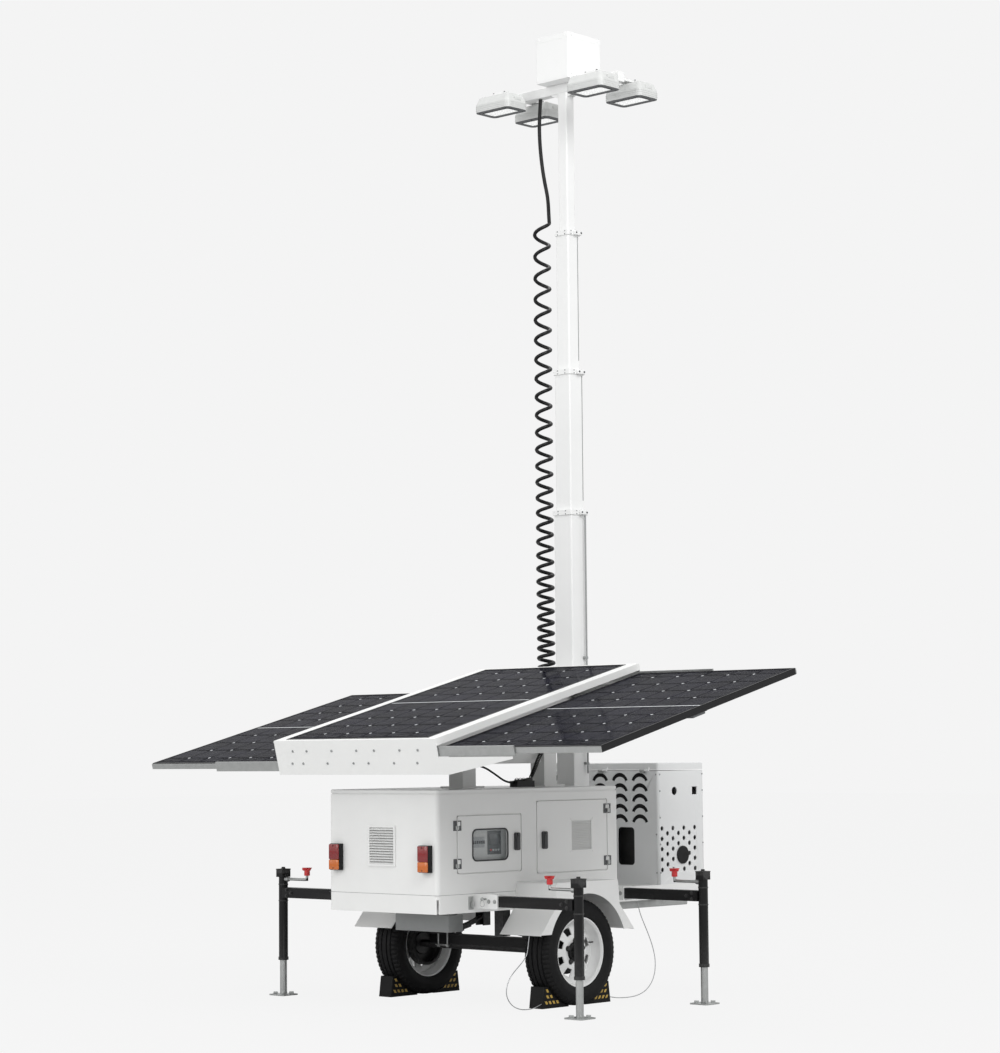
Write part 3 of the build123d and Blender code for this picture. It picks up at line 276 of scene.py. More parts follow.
# Mesh helpers: each adds closed forms to a bmesh, and finish_mesh makes a piece of them
def object_of(name, bm):
    """An object of a bmesh, which is freed."""
    mesh = bpy.data.meshes.new(name)
    bm.to_mesh(mesh)
    bm.free()
    return new_object(name, mesh)


def finish_mesh(name, bm, mat, body="chassis", angle=32):
    """Turns a bmesh into an object that rides on a body. mat names one material, or a list of them."""
    bmesh.ops.recalc_face_normals(bm, faces=bm.faces)
    obj = object_of(name, bm)
    mesh = obj.data
    mesh.polygons.foreach_set("use_smooth", [True] * len(mesh.polygons))
    mesh.set_sharp_from_angle(angle=math.radians(angle))
    for m in mat if isinstance(mat, list) else [mat]:
        mesh.materials.append(M[m])
    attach(obj, body)
    return obj


def skin(bm, rings, mat=0, closed=False):
    """Joins rings of vertices one after the other. A ring of one vertex is a tip."""
    pairs = list(zip(rings, rings[1:]))
    if closed:
        pairs.append((rings[-1], rings[0]))
    for a, b in pairs:
        count = max(len(a), len(b))
        for k in range(count):
            k2 = (k + 1) % count
            low = (a[k], a[k2]) if len(a) > 1 else (a[0],)
            high = (b[k2], b[k]) if len(b) > 1 else (b[0],)
            bm.faces.new(low + high).material_index = mat


def cap(bm, rings):
    """Closes the first and the last ring of a sweep."""
    bm.faces.new(rings[0][::-1])
    bm.faces.new(rings[-1])


def add_box(bm, centre, size, bevel=0.0, turn=FLAT, mat=0):
    """Adds a box with rounded edges. turn is a matrix about the centre."""
    verts = bmesh.ops.create_cube(bm, size=1.0)["verts"]
    for v in verts:
        v.co = Vector([a * b for a, b in zip(v.co, size)])
    if bevel:
        edges = list({e for v in verts for e in v.link_edges})
        out = bmesh.ops.bevel(bm, geom=edges, offset=bevel, segments=2, profile=0.5, affect="EDGES",
                              clamp_overlap=True)
        verts = set(out["verts"]) | {v for v in verts if v.is_valid}
    faces = {f for v in verts for f in v.link_faces}
    for v in {v for f in faces for v in f.verts}:
        v.co = Vector(centre) + turn @ v.co
    for f in faces:
        f.material_index = mat


def axes(normal):
    """Rotation whose local Z is along normal."""
    z = Vector(normal).normalized()
    h = Vector((1, 0, 0)) if abs(z.z) > 0.95 else Vector(UP)
    x = h.cross(z).normalized()
    return Matrix((x, z.cross(x), z)).transposed()


def around(centre, count, start, radius, height, turn=FLAT):
    """Places spread evenly about local Z, from a start angle on."""
    angles = [start + 2 * math.pi * k / count for k in range(count)]
    return [Vector(centre) + turn @ Vector((radius * math.cos(a), radius * math.sin(a), height)) for a in angles]


def circle(bm, centre, turn, radius, height, count):
    """A ring of vertices about local Z at a height."""
    return [bm.verts.new(place) for place in around(centre, count, 0, radius, height, turn)]


def add_lathe(bm, profile, centre, axis, count=24, mat=0, closed=False):
    """Turns a profile of (radius, height) about an axis through centre."""
    turn = axes(axis)
    skin(bm, [circle(bm, centre, turn, r, h, count if r else 1) for r, h in profile], mat, closed)


def add_tube(bm, points, radius, count=8, closed=False):
    """Sweeps a round section along points, turning it as little as possible."""
    points = [Vector(p) for p in points]
    n = len(points)
    rings = []
    for k in range(n):
        a = points[k - 1] if k or closed else points[k]
        b = points[(k + 1) % n] if k < n - 1 or closed else points[k]
        t = (b - a).normalized()
        side = axes(t).col[0].copy() if k == 0 else side
        side = (side - side.dot(t) * t).normalized()
        rings.append(circle(bm, points[k], Matrix((side, t.cross(side), t)).transposed(), radius, 0, count))
    skin(bm, rings, closed=closed)
    if not closed:
        cap(bm, rings)


def rounded(w, h, r, steps=4):
    """Outline of a rounded rectangle about the origin."""
    out = []
    for quarter, (sx, sy) in enumerate(((1, 1), (-1, 1), (-1, -1), (1, -1))):
        for k in range(steps + 1):
            a = math.radians(90 * (quarter + k / steps))
            out.append((sx * (w / 2 - r) + r * math.cos(a), sy * (h / 2 - r) + r * math.sin(a)))
    return out


def outline_ring(bm, outline, centre, turn, height):
    return [bm.verts.new(Vector(centre) + turn @ Vector((x, y, height))) for x, y in outline]


def add_prism(bm, outline, centre, turn, low, high, top=None):
    """Extrudes an outline along local Z from low to high. top is the outline at the high end."""
    rings = [outline_ring(bm, outline, centre, turn, low), outline_ring(bm, top or outline, centre, turn, high)]
    skin(bm, rings)
    cap(bm, rings)


def add_ring(bm, outer, inner, centre, turn, low, high):
    """A frame between two outlines with as many points each, along local Z."""
    levels = ((outer, low), (outer, high), (inner, high), (inner, low))
    skin(bm, [outline_ring(bm, outline, centre, turn, h) for outline, h in levels], closed=True)


def add_screw(bm, place, normal, radius, mat=0):
    """A round screw head with a bevelled rim and a small socket."""
    shape = ((1, 0), (1, 0.36), (0.8, 0.6), (0.42, 0.6), (0.36, 0.33), (0, 0.33))
    add_lathe(bm, [(radius * r, radius * h) for r, h in shape], place, normal, 10, mat)


def add_hex(bm, place, normal, across, height):
    """A hexagon nut or bolt head on a washer."""
    r = across / math.sqrt(3)
    add_lathe(bm, [(across * 0.85, 0), (across * 0.85, height * 0.2), (0, height * 0.2)], place, normal, 16)
    add_lathe(bm, [(r, height * 0.2), (r, height * 0.9), (r * 0.86, height), (0, height)], place, normal, 6)


# Cords
def line_of(points):
    """Points of the NURBS curve of order 3 whose control points are given."""
    curve = bpy.data.curves.new("route", "CURVE")
    curve.dimensions = "3D"
    spline = curve.splines.new("NURBS")
    spline.points.add(len(points) - 1)
    for p, co in zip(spline.points, points):
        p.co = (*co, 1)
    spline.order_u = 3
    spline.use_endpoint_u = True
    spline.resolution_u = 4
    temp = new_object("route", curve)
    mesh = bpy.data.meshes.new_from_object(temp)
    points = [v.co.copy() for v in mesh.vertices]
    bpy.data.objects.remove(temp)
    return points


def length_of(points):
    return sum((b - a).length for a, b in zip(points, points[1:]))


def add_cord(name, line, radius, node_name, slot="cable_black", body="chassis", sides=8):
    """A tube along a line, standing for its CAD tube."""
    bm = bmesh.new()
    add_tube(bm, line, radius, sides)
    obj = finish_mesh(name, bm, slot, body, angle=60)
    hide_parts(node_name)
    return obj


# The mast's curly cable, and the lead that hangs from the crossbar
COIL_Y, COIL_R, CABLE = 0.21, 0.0465, 0.0115
TURN_STEPS, HEAD_TRAVEL = 12, 2.487
coil_bottom, coil_top = DECK + 0.062, 4.745
# The turns are even below this height, and open out above it
EVEN_TO, PITCH_LOW, PITCH_MORE = 2.1, 0.060, 0.084
LEAD_IN = 0.05
END_TURN = -0.82
turn_points = [(MAST_X, COIL_Y, coil_bottom)]
angle, z = 0.0, coil_bottom + 0.02
while z < coil_top - 0.03:
    share = (z - EVEN_TO) / (coil_top - EVEN_TO)
    pitch = PITCH_LOW + PITCH_MORE * max(0.0, share) ** 0.8
    grow = min(1.0, (z - coil_bottom) / LEAD_IN)
    wobble = 1 - 0.03 * (0.5 + 0.5 * math.sin(angle * 0.13))
    r = COIL_R * max(0.15, grow) * wobble * 1.03
    turn_points.append((MAST_X + r * math.cos(angle), COIL_Y + r * math.sin(angle), z))
    angle += 2 * math.pi / TURN_STEPS
    z += pitch / TURN_STEPS
axis_spot = Vector((MAST_X, COIL_Y, 0))
spin = Matrix.Rotation(END_TURN - (angle - 2 * math.pi / TURN_STEPS), 3, "Z")
turn_points = [tuple(axis_spot + spin @ (Vector(p) - axis_spot)) for p in turn_points]
coil = add_cord("mast_coil", line_of(turn_points), CABLE, "mast_cord")
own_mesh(coil)

join = Vector(turn_points[-1])
swing = Vector((0.68, -0.733, 0))
lead_points = [tuple(join), tuple(join + Vector((0.010, 0.012, 0.045)))]
for out, z in ((0.040, 4.87), (0.020, 4.97), (0.004, 5.08), (-0.008, 5.22), (-0.010, 5.36), (0, HEAD)):
    lead_points.append(tuple(Vector((MAST_X, COIL_Y, z)) + out * swing))
add_cord("mast_lead", line_of(lead_points), CABLE, "mast_cord_lead", body="mast_head", sides=10)

# Solar modules: glass faces with 108 half cells each, in frames that stand a little proud
SLOPE = math.radians(14.3)
TILT = Matrix(((math.cos(SLOPE), 0, -math.sin(SLOPE)), (0, 1, 0), (math.sin(SLOPE), 0, math.cos(SLOPE))))
ARRAY_REAR = Vector((gx(-0.205), 0, 1.515))
MOD_L, MOD_W = 1.722, 1.134
MODULE_DROP = {"centre": 0.0, "left": 0.136, "right": 0.056}
DRAWER_Y = 1.793 - MOD_W / 2
LIP, MARGIN = 0.011, 0.016
CELL_L, CELL_W, CELL_GAP, SEAM = 0.0892, 0.1815, 0.0024, 0.016
CELL_CUT, DIAMOND, WIRE_W = 0.011, 0.0105, 0.0006
STEP_L, STEP_W = CELL_L + CELL_GAP, CELL_W + CELL_GAP
BLOCK_L, FIELD_W = 9 * STEP_L - CELL_GAP, 6 * STEP_W - CELL_GAP
LOOP = ((-1, -1), (1, -1), (1, 1), (-1, 1))


def on_array(u, y, drop):
    """A place on the array: u up the slope from the modules' rear edge, drop below the top."""
    return ARRAY_REAR + TILT @ Vector((u, y, -drop))


def oblong(w, h, x=0.0, y=0.0):
    """Outline of a rectangle about (x, y)."""
    return [(x + sx * w / 2, y + sy * h / 2) for sx, sy in LOOP]


def cell_outline(half, row, col):
    """A half cell with two cut corners, in a row that counts away from the seam. The last row has four."""
    u, y = half * (SEAM / 2 + row * STEP_L + CELL_L / 2), (col - 2.5) * STEP_W
    outline = []
    for sx, sy in LOOP:
        cx, cy = u + sx * CELL_L / 2, y + sy * CELL_W / 2
        if sx * half == (1 if row % 2 else -1) or row == 8:
            ends = [(cx - sx * CELL_CUT, cy), (cx, cy - sy * CELL_CUT)]
            outline += ends if sx == sy else ends[::-1]
        else:
            outline.append((cx, cy))
    return outline


cells = [cell_outline(half, row, col) for half in (-1, 1) for row in range(9) for col in range(6)]
diamonds = []
for pair in range(1, 5):
    for u in (SEAM / 2 + 2 * pair * STEP_L - CELL_GAP / 2, CELL_GAP / 2 - SEAM / 2 - 2 * pair * STEP_L):
        for y in [col * STEP_W for col in range(-2, 3)]:
            diamonds.append([(u - DIAMOND, y), (u, y - DIAMOND), (u + DIAMOND, y), (u, y + DIAMOND)])
wires = [oblong(BLOCK_L, WIRE_W, half * (SEAM + BLOCK_L) / 2, (col - 2.5) * STEP_W + (bus - 4) * CELL_W / 9.5)
         for col in range(6) for bus in range(9) for half in (-1, 1)]
LAYERS = (
    ("sheet", "cell_gap", [([oblong(MOD_L - 2 * MARGIN, MOD_W - 2 * MARGIN)], 0.0002, 0.0005)]),
    ("seam", "backsheet", [([oblong(0.7 * SEAM, FIELD_W)], 0.0003, 0.0007), (diamonds, 0.0003, 0.0006)]),
    ("cells", "solar_cell", [(cells, 0.0004, 0.0008)]),
    ("wires", "dark_grey", [(wires, 0.0007, 0.0009)]),
)
for name, body, mid_y in (
    ("centre", "chassis", 0.0), ("left", "drawer_left", DRAWER_Y), ("right", "drawer_right", -DRAWER_Y),
):
    centre = on_array(MOD_L / 2, mid_y, MODULE_DROP[name])
    bm = bmesh.new()
    inner = oblong(MOD_L - 2 * LIP, MOD_W - 2 * LIP)
    add_ring(bm, oblong(MOD_L, MOD_W), inner, centre, TILT, -0.001, 0.0022)
    finish_mesh(f"module_lip_{name}", bm, "module_frame", body)
    for part, mat, sets in LAYERS:
        bm = bmesh.new()
        for outlines, low, high in sets:
            for outline in outlines:
                add_prism(bm, outline, centre, TILT, low, high)
        finish_mesh(f"module_{part}_{name}", bm, mat, body)

# Array frame: screws in two rows across the rear plate, and latches at the drawers' outer edges
bm = bmesh.new()
for drop, spots in (
    (0.062, (0.50, 0.385, 0.18, -0.02, -0.16, -0.36, -0.50)),
    (0.134, (0.52, 0.43, 0.23, 0.02, -0.10, -0.30, -0.48)),
):
    for y in spots:
        add_screw(bm, on_array(-0.0288, y, drop), TILT @ Vector((-1, 0, 0)), 0.0075)
finish_mesh("array_screws", bm, "mid_grey", "chassis")

for name, side in (("right", -1), ("left", 1)):
    bm = bmesh.new()
    place = on_array(MOD_L / 2 - 0.03, side * 1.7810, MODULE_DROP[name] + 0.022)
    add_box(bm, place, (0.15, 0.013, 0.036), 0.004, TILT)
    add_box(bm, place + TILT @ Vector((0, -side * 0.02, -0.022)), (0.11, 0.05, 0.014), 0.004, TILT)
    for k in (-1, 1):
        add_screw(bm, place + TILT @ Vector((k * 0.055, side * 0.0055, 0)), TILT @ Vector((0, side, 0)), 0.006)
    finish_mesh(f"drawer_latch_{name}", bm, "dark_grey", f"drawer_{name}")

# Ropes of the wheel chocks, and the two cables on the cabinet's roof
ROPES = {
    "rope_rear": (
        (0.499, -0.655, 0.4138), (0.492, -0.653, 0.360), (0.483, -0.651, 0.306), (0.440, -0.649, 0.264),
        (0.396, -0.647, 0.232), (0.354, -0.645, 0.198), (0.325, -0.643, 0.152), (0.320, -0.641, 0.100),
        (0.347, -0.640, 0.055), (0.392, -0.640, 0.024), (0.446, -0.640, 0.009), (0.502, -0.640, 0.006),
        (0.556, -0.640, 0.010), (0.611, -0.640, 0.028),
    ),
    "rope_front": (
        (1.706, -0.430, 0.545), (1.712, -0.436, 0.488), (1.732, -0.446, 0.430), (1.756, -0.456, 0.372),
        (1.777, -0.467, 0.313), (1.789, -0.480, 0.254), (1.788, -0.494, 0.194), (1.768, -0.509, 0.137),
        (1.731, -0.525, 0.091), (1.683, -0.541, 0.057), (1.628, -0.557, 0.033), (1.569, -0.572, 0.018),
        (1.508, -0.586, 0.010), (1.447, -0.600, 0.007), (1.386, -0.612, 0.008), (1.320, -0.624, 0.011),
        (1.254, -0.634, 0.017), (1.189, -0.640, 0.028),
    ),
}
for name, spots in ROPES.items():
    route = [(gx(x), y, z) for x, y, z in spots]
    add_cord(name, line_of(route), 0.0025, "chock_ropes", "wire")

CABINET_L = 1.536
POST_REAR, POST_FRONT = 0.4265 * CABINET_L + 0.055, 0.8854 * CABINET_L - 0.055
PLUG_TOP = 1.264
route = [(gx(POST_REAR + x), y, PLUG_TOP - 0.014 + z) for x, y, z in (
    (0.0011, -0.04, 0.110), (0.066, -0.046, 0.104), (0.136, -0.08, 0.056), (0.203, -0.11, 0.004), (0.264, -0.11, 0.004),
)]
add_cord("roof_lead", line_of(route), 0.006, "roof_cable")

CURL_TURNS, CURL_R, CURL_WIRE = 17, 0.0098, 0.0036
CURL_EASE = 9
curl_line = line_of([(gx(POST_FRONT + x), y, PLUG_TOP + z) for x, y, z in (
    (-0.185, -0.11, 0.010), (-0.123, -0.092, 0.072), (-0.066, -0.066, 0.127), (-0.0091, -0.045, 0.168),
)])
runs = [length_of(curl_line[:k + 1]) for k in range(len(curl_line))]
last = CURL_TURNS * TURN_STEPS
turn_points = []
for k in range(last + 1):
    way = runs[-1] * k / last
    i = min(max(j for j, run in enumerate(runs) if run <= way + 1e-9), len(runs) - 2)
    spot = curl_line[i].lerp(curl_line[i + 1], (way - runs[i]) / (runs[i + 1] - runs[i]))
    a = 2 * math.pi * k / TURN_STEPS
    ease = min(1.0, k / CURL_EASE + 0.05, (last - k) / CURL_EASE + 0.05)
    out = axes(curl_line[i + 1] - curl_line[i]) @ Vector((math.cos(a), math.sin(a), 0))
    turn_points.append(spot + ease * CURL_R * out)
add_cord("roof_curl_cord", line_of(turn_points), CURL_WIRE, "roof_curl", sides=6)

# Plugs on the roof where the cables meet
bm = bmesh.new()
for x, y, z, size in (
    (0.995, -0.11, 1.254, (0.044, 0.030, 0.024)), (1.035, -0.098, 1.262, (0.060, 0.024, 0.022)),
    (1.078, -0.125, 1.264, (0.070, 0.026, 0.024)), (1.114, -0.108, 1.272, (0.026, 0.030, 0.020)),
):
    add_box(bm, (gx(x), y, z), size, 0.005)
for x in (1.0, 1.03, 1.06, 1.09):
    add_lathe(bm, [(0.017, -0.004), (0.019, -0.002), (0.019, 0.002), (0.017, 0.004)], (gx(x), -0.112, 1.262),
              (1, 0.1, 0), 16, closed=True)
finish_mesh("roof_plugs", bm, "cable_black")

# Tyres: bulged walls, four grooves round the tread, and cuts across its shoulders. Half of the
# section as radius and place across, from the middle of the tread to the bead.
TREAD, GROOVE = 0.2995, 0.2915
HALF_SECTION = [
    (TREAD, 0.0), (TREAD, 0.0145), (GROOVE, 0.0165), (GROOVE, 0.0225), (TREAD, 0.0245), (0.2992, 0.046),
    (GROOVE, 0.048), (GROOVE, 0.055), (0.2985, 0.057), (0.296, 0.073), (0.2885, 0.0835), (0.281, 0.088),
    (0.279, 0.0895), (0.270, 0.0945), (0.252, 0.0985), (0.250, 0.0992), (0.238, 0.0994), (0.226, 0.0975),
    (0.2135, 0.0915), (0.2115, 0.0915), (0.203, 0.086), (0.1955, 0.082), (0.1925, 0.078), (0.1925, 0.070),
]
TREAD_STEPS = 3 * 66
TREAD_LEAN = 3.5


def tread_radius(r, h, k):
    """Radius of a point of the section at step k: every third step is cut in the shoulders and ribs."""
    if 0.056 < abs(h) < 0.089 and r > 0.28:
        return r - 0.0065 if k % 3 == 0 else r
    if 0.024 < abs(h) < 0.0465 and r > 0.298 and k % 3 == 1:
        return r - 0.003
    return r


# Rim: flanged barrel with a drop centre, and a dished disc with eight windows
BARREL = [
    (0.1918, -0.080), (0.199, -0.082), (0.2045, -0.0805), (0.2052, -0.077), (0.199, -0.077),
    (0.1915, -0.072), (0.190, -0.045), (0.178, -0.030), (0.178, 0.010), (0.188, 0.028), (0.190, 0.068),
    (0.1925, 0.073), (0.199, 0.0775), (0.2052, 0.0775), (0.2048, 0.0815), (0.199, 0.0835),
    (0.191, 0.0805), (0.187, 0.074), (0.184, 0.070), (0.183, 0.030), (0.173, 0.011), (0.173, -0.031),
    (0.185, -0.047), (0.1865, -0.070), (0.187, -0.076),
]
DISH = [(0.050, 0.030), (0.060, 0.036), (0.078, 0.040), (0.094, 0.038), (0.100, 0.034), (0.142, 0.020),
        (0.150, 0.014), (0.162, 0.006), (0.1745, 0.004)]
DISH_THICK = 0.006
RIM_STEPS, WINDOWS, WINDOW_ROW = 96, 8, 4


def is_window(k):
    """Whether the disc is open at step k, in the row between two rings of the dish."""
    return 3 <= k % (RIM_STEPS // WINDOWS) < 9


def add_disc(bm, centre, turn):
    """The dished disc: two layers, joined round its rims and round the windows."""
    upper, lower = [[circle(bm, centre, turn, r, h - drop, RIM_STEPS) for r, h in DISH] for drop in (0, DISH_THICK)]
    edges, window = (0, len(DISH) - 1), (WINDOW_ROW, WINDOW_ROW + 1)
    for k in range(RIM_STEPS):
        k2 = (k + 1) % RIM_STEPS
        for row in range(len(DISH) - 1):
            for layer in () if row == WINDOW_ROW and is_window(k) else (upper, lower):
                bm.faces.new((layer[row][k], layer[row][k2], layer[row + 1][k2], layer[row + 1][k]))
        for row in edges + (window if is_window(k) else ()):
            bm.faces.new((upper[row][k], upper[row][k2], lower[row][k2], lower[row][k]))
        if is_window(k) != is_window(k - 1):
            a, b = window
            bm.faces.new((upper[a][k], upper[b][k], lower[b][k], lower[a][k]))


for name, side in (("left", 1), ("right", -1)):
    centre = Vector((WHEEL_X, side * WHEEL_Y, AXLE_Z))
    out = Vector((0, side, 0))
    turn = axes(out)
    bm = bmesh.new()
    rings = []
    for r, h in [(r, -h) for r, h in reversed(HALF_SECTION[1:])] + HALF_SECTION:
        spots = []
        for k in range(TREAD_STEPS):
            a = 2 * math.pi * (k + TREAD_LEAN * h) / TREAD_STEPS
            radius = tread_radius(r, h, k)
            spots.append(bm.verts.new(centre + Vector((radius * math.cos(a), h, radius * math.sin(a)))))
        rings.append(spots)
    skin(bm, rings, closed=True)
    tyre = finish_mesh(f"tyre_tread_{name}", bm, "tyre", f"wheel_{name}", angle=40)
    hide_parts(f"tyre_{name}")

    bm = bmesh.new()
    add_lathe(bm, BARREL, centre, out, RIM_STEPS, closed=True)
    add_disc(bm, centre, turn)
    rim = finish_mesh(f"rim_disc_{name}", bm, "rim_white", f"wheel_{name}", angle=34)
    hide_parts(f"rim_{name}")

    bm = bmesh.new()
    add_lathe(bm, [(0, -0.028), (0.062, -0.028), (0.066, -0.022), (0.066, 0.026), (0.050, 0.036), (0.050, 0.044),
                   (0.040, 0.048), (0.038, 0.074), (0.034, 0.080), (0, 0.082)], centre, out, 40)
    add_lathe(bm, [(0.110, -0.075), (0.128, -0.070), (0.128, -0.024), (0.122, -0.018), (0, -0.018)], centre, out, 48)
    for spot in around(centre, 5, 0.3, 0.0665, 0.0385, turn):
        add_hex(bm, spot, out, 0.019, 0.016)
    valve = centre + turn @ Vector((0.150, 0.045, 0.012))
    add_tube(bm, [valve, valve + out * 0.014, valve + out * 0.03 + turn @ Vector((0.004, 0.002, 0))], 0.004)
    finish_mesh(f"hub_{name}", bm, "black_steel", f"wheel_{name}")

# Outriggers: bright crank rods with red tee knobs, collars, lock pins on loops of wire
JACK_Y, KNOB_IN = 1.175, 0.208
ARM_Z, CRANK_Z = 0.608, 0.688
LEG_R = 0.0278
for place, name, x, side in [(p, n, gx(x), s) for p, x in (("rear", 0.326), ("front", 1.400))
                             for n, s in (("left", 1), ("right", -1))]:
    body = f"outrigger_{place}_{name}"
    jack = Vector((x, side * JACK_Y, 0))
    knob = Vector((x, side * (JACK_Y - KNOB_IN), 0))
    bm = bmesh.new()
    rod = [(x, side * 1.150, CRANK_Z), (x, knob.y + side * 0.016, CRANK_Z), (x, knob.y + side * 0.004, 0.692),
           (x, knob.y, 0.704), (x, knob.y, 0.735)]
    add_tube(bm, rod, 0.0085, 12)
    add_lathe(bm, [(0.0135, -0.014), (0.0155, -0.011), (0.0155, 0.011), (0.0135, 0.014), (0, 0.014)],
              (x, side * 1.140, CRANK_Z), (0, -side, 0), 16)
    finish_mesh(f"crank_rod_{place}_{name}", bm, "zinc", body)

    bm = bmesh.new()
    add_lathe(bm, [(0, 0.712), (0.0165, 0.712), (0.0175, 0.716), (0.0168, 0.740), (0.019, 0.748), (0.026, 0.752),
                   (0.0295, 0.757), (0.0295, 0.7595), (0.024, 0.7600), (0, 0.7600)], knob, UP, 28)
    for spot in around(knob, 3, 0.5, 0.0165, 0.7525):
        add_lathe(bm, [(0, -0.012), (0.010, -0.010), (0.0135, -0.002), (0.0135, 0.003), (0.010, 0.0072),
                       (0, 0.0075)], spot, UP, 14)
    finish_mesh(f"crank_knob_{place}_{name}", bm, "red_knob", body)

    bm = bmesh.new()
    add_box(bm, jack + Vector((0, 0, 0.7455)), (0.070, 0.058, 0.007), 0.0022)
    add_hex(bm, jack + Vector((0, 0, 0.7485)), UP, 0.020, 0.011)
    add_lathe(bm, [(LEG_R, 0.208), (0.0305, 0.209), (0.0305, 0.226), (LEG_R, 0.228)], jack, UP, 32, closed=True)
    for z in (0.560, 0.656):
        add_lathe(bm, [(LEG_R, z - 0.004), (0.0292, z - 0.003), (0.0292, z + 0.003), (LEG_R, z + 0.004)],
                  jack, UP, 32, closed=True)
    for dz in (-0.018, 0.018):
        add_hex(bm, (x - 0.0302, side * 1.115, ARM_Z + dz), REARWARD, 0.014, 0.008)
    add_hex(bm, (x - 0.0300, side * 1.076, ARM_Z), REARWARD, 0.014, 0.010)
    finish_mesh(f"jack_trim_{place}_{name}", bm, "black_steel", body)

    # lock pin through the socket, held by a loop of wire
    bm = bmesh.new()
    pin = Vector((x - 0.046, side * 0.526, 0.622))
    add_lathe(bm, [(0.006, -0.006), (0.006, 0.020), (0.010, 0.022), (0.010, 0.028), (0, 0.030)], pin, REARWARD, 14)
    loop = [pin + Vector((-0.024 + 0.003 * math.sin(2 * a), 0.014 * math.cos(a), -0.020 + 0.022 * math.sin(a)))
            for a in [2 * math.pi * k / 18 for k in range(18)]]
    add_tube(bm, loop, 0.0016, 6, closed=True)
    for k in (-1, 1):
        add_hex(bm, (x - 0.0402, side * (0.570 + k * 0.022), ARM_Z), REARWARD, 0.014, 0.007)
    finish_mesh(f"socket_pin_{place}_{name}", bm, "zinc")

    # foot plate: welded ribs and the leg's lock holes
    bm = bmesh.new()
    for k, spot in enumerate(around(jack, 4, math.pi / 4, 0.047, 0.015)):
        add_box(bm, spot, (0.027, 0.005, 0.014), 0.001, Matrix.Rotation(math.pi / 2 * k + math.pi / 4, 3, "Z"))
    add_lathe(bm, [(0.0212, 0.0075), (0.0255, 0.0078), (0.0225, 0.0100), (0.0212, 0.0104)], jack, UP, 32,
              closed=True)
    for spot in around(jack, 4, math.pi / 4, 0.066, 0):
        add_lathe(bm, [(0.007, 0.0080), (0.0085, 0.0088), (0.0055, 0.0092), (0, 0.0084)], spot, UP, 14)
    finish_mesh(f"foot_trim_{place}_{name}", bm, "zinc", f"jack_{place}_{name}")

# Lamp head: dark rims under the lamps, cooling ribs, brackets and screws
LAMP_BASE, LAMP_TOP = 5.415, 5.507
LAMP_DX, LAMP_DY = 0.180, 0.380
PANE = rounded(0.112, 0.216, 0.020, 5)
for number, (ly, lx) in enumerate([(sy * LAMP_DY, MAST_X + sx * LAMP_DX) for sy, sx in CORNERS]):
    bm = bmesh.new()
    middle = (lx, ly, 0)
    add_ring(bm, rounded(0.182, 0.282, 0.028, 5), PANE, middle, FLAT, LAMP_BASE - 0.004, LAMP_BASE + 0.0006)
    add_ring(bm, rounded(0.120, 0.224, 0.022, 5), PANE, middle, FLAT, LAMP_BASE - 0.0065, LAMP_BASE - 0.0038)
    for sx in (-1, 1):
        for sy in (-0.42, 0, 0.42):
            add_screw(bm, (lx + sx * 0.079, ly + sy * 0.26, LAMP_BASE - 0.004), DOWN, 0.0045)
    finish_mesh(f"lamp_ring_{number}", bm, "dark_grey", "mast_head")
    bm = bmesh.new()
    add_prism(bm, PANE, middle, FLAT, LAMP_BASE - 0.0020, LAMP_BASE + 0.0004)
    for row in range(10):
        for col in range(4):
            add_lathe(bm, [(0.0085, 0), (0.0070, 0.0020), (0.0035, 0.0032), (0, 0.0036)],
                      (lx + (col - 1.5) * 0.025, ly + (row - 4.5) * 0.0205, LAMP_BASE - 0.0019), DOWN, 10)
    finish_mesh(f"lamp_pane_{number}", bm, "lamp_lens", "mast_head")
    bm = bmesh.new()
    for z in (5.4265, 5.4385, 5.4505):
        add_ring(bm, rounded(0.190, 0.290, 0.032, 5), rounded(0.1855, 0.2855, 0.030, 5), middle, FLAT,
                 z - 0.0022, z + 0.0022)
    for rib in (-5, -4, 4, 5):
        add_box(bm, (lx, ly + rib * 0.0205, LAMP_TOP + 0.0035), (0.128, 0.0032, 0.010), 0.001)
    for sy in (-1, 1):
        add_box(bm, (lx, ly + sy * 0.1385, 5.478), (0.060, 0.007, 0.020), 0.002)
    finish_mesh(f"lamp_ribs_{number}", bm, "lamp_body", "mast_head")
    bm = bmesh.new()
    for sx, sy in CORNERS:
        add_screw(bm, (lx + sx * 0.017, ly + sy * 0.045, 5.5335), UP, 0.0055)
        add_screw(bm, (lx + sx * 0.0252, ly + sy * 0.040, 5.5135), (sx, 0, 0), 0.0048)
    finish_mesh(f"lamp_screws_{number}", bm, "dark_grey", "mast_head")

bm = bmesh.new()
for ly in (-LAMP_DY, LAMP_DY):
    for sx in (-1, 1):
        add_box(bm, (MAST_X + sx * 0.120, ly, 5.5375), (0.070, 0.006, 0.009), 0.001)
    for sy in (-1, 1):
        add_prism(bm, oblong(0.061, 0.057, 0, 5.5245), (MAST_X, ly + sy * 0.034, 0), SIDE, -0.002, 0.002)
for sx, sy in CORNERS:
    gusset = [(sy * y, z) for y, z in ((0.037, 0), (0.092, 0), (0.092, -0.006), (0.037, -0.028))]
    add_prism(bm, gusset, (MAST_X + sx * 0.024, 0, 5.4948), REAR, -0.0022, 0.0022)
finish_mesh("head_brackets", bm, "white_mast", "mast_head")

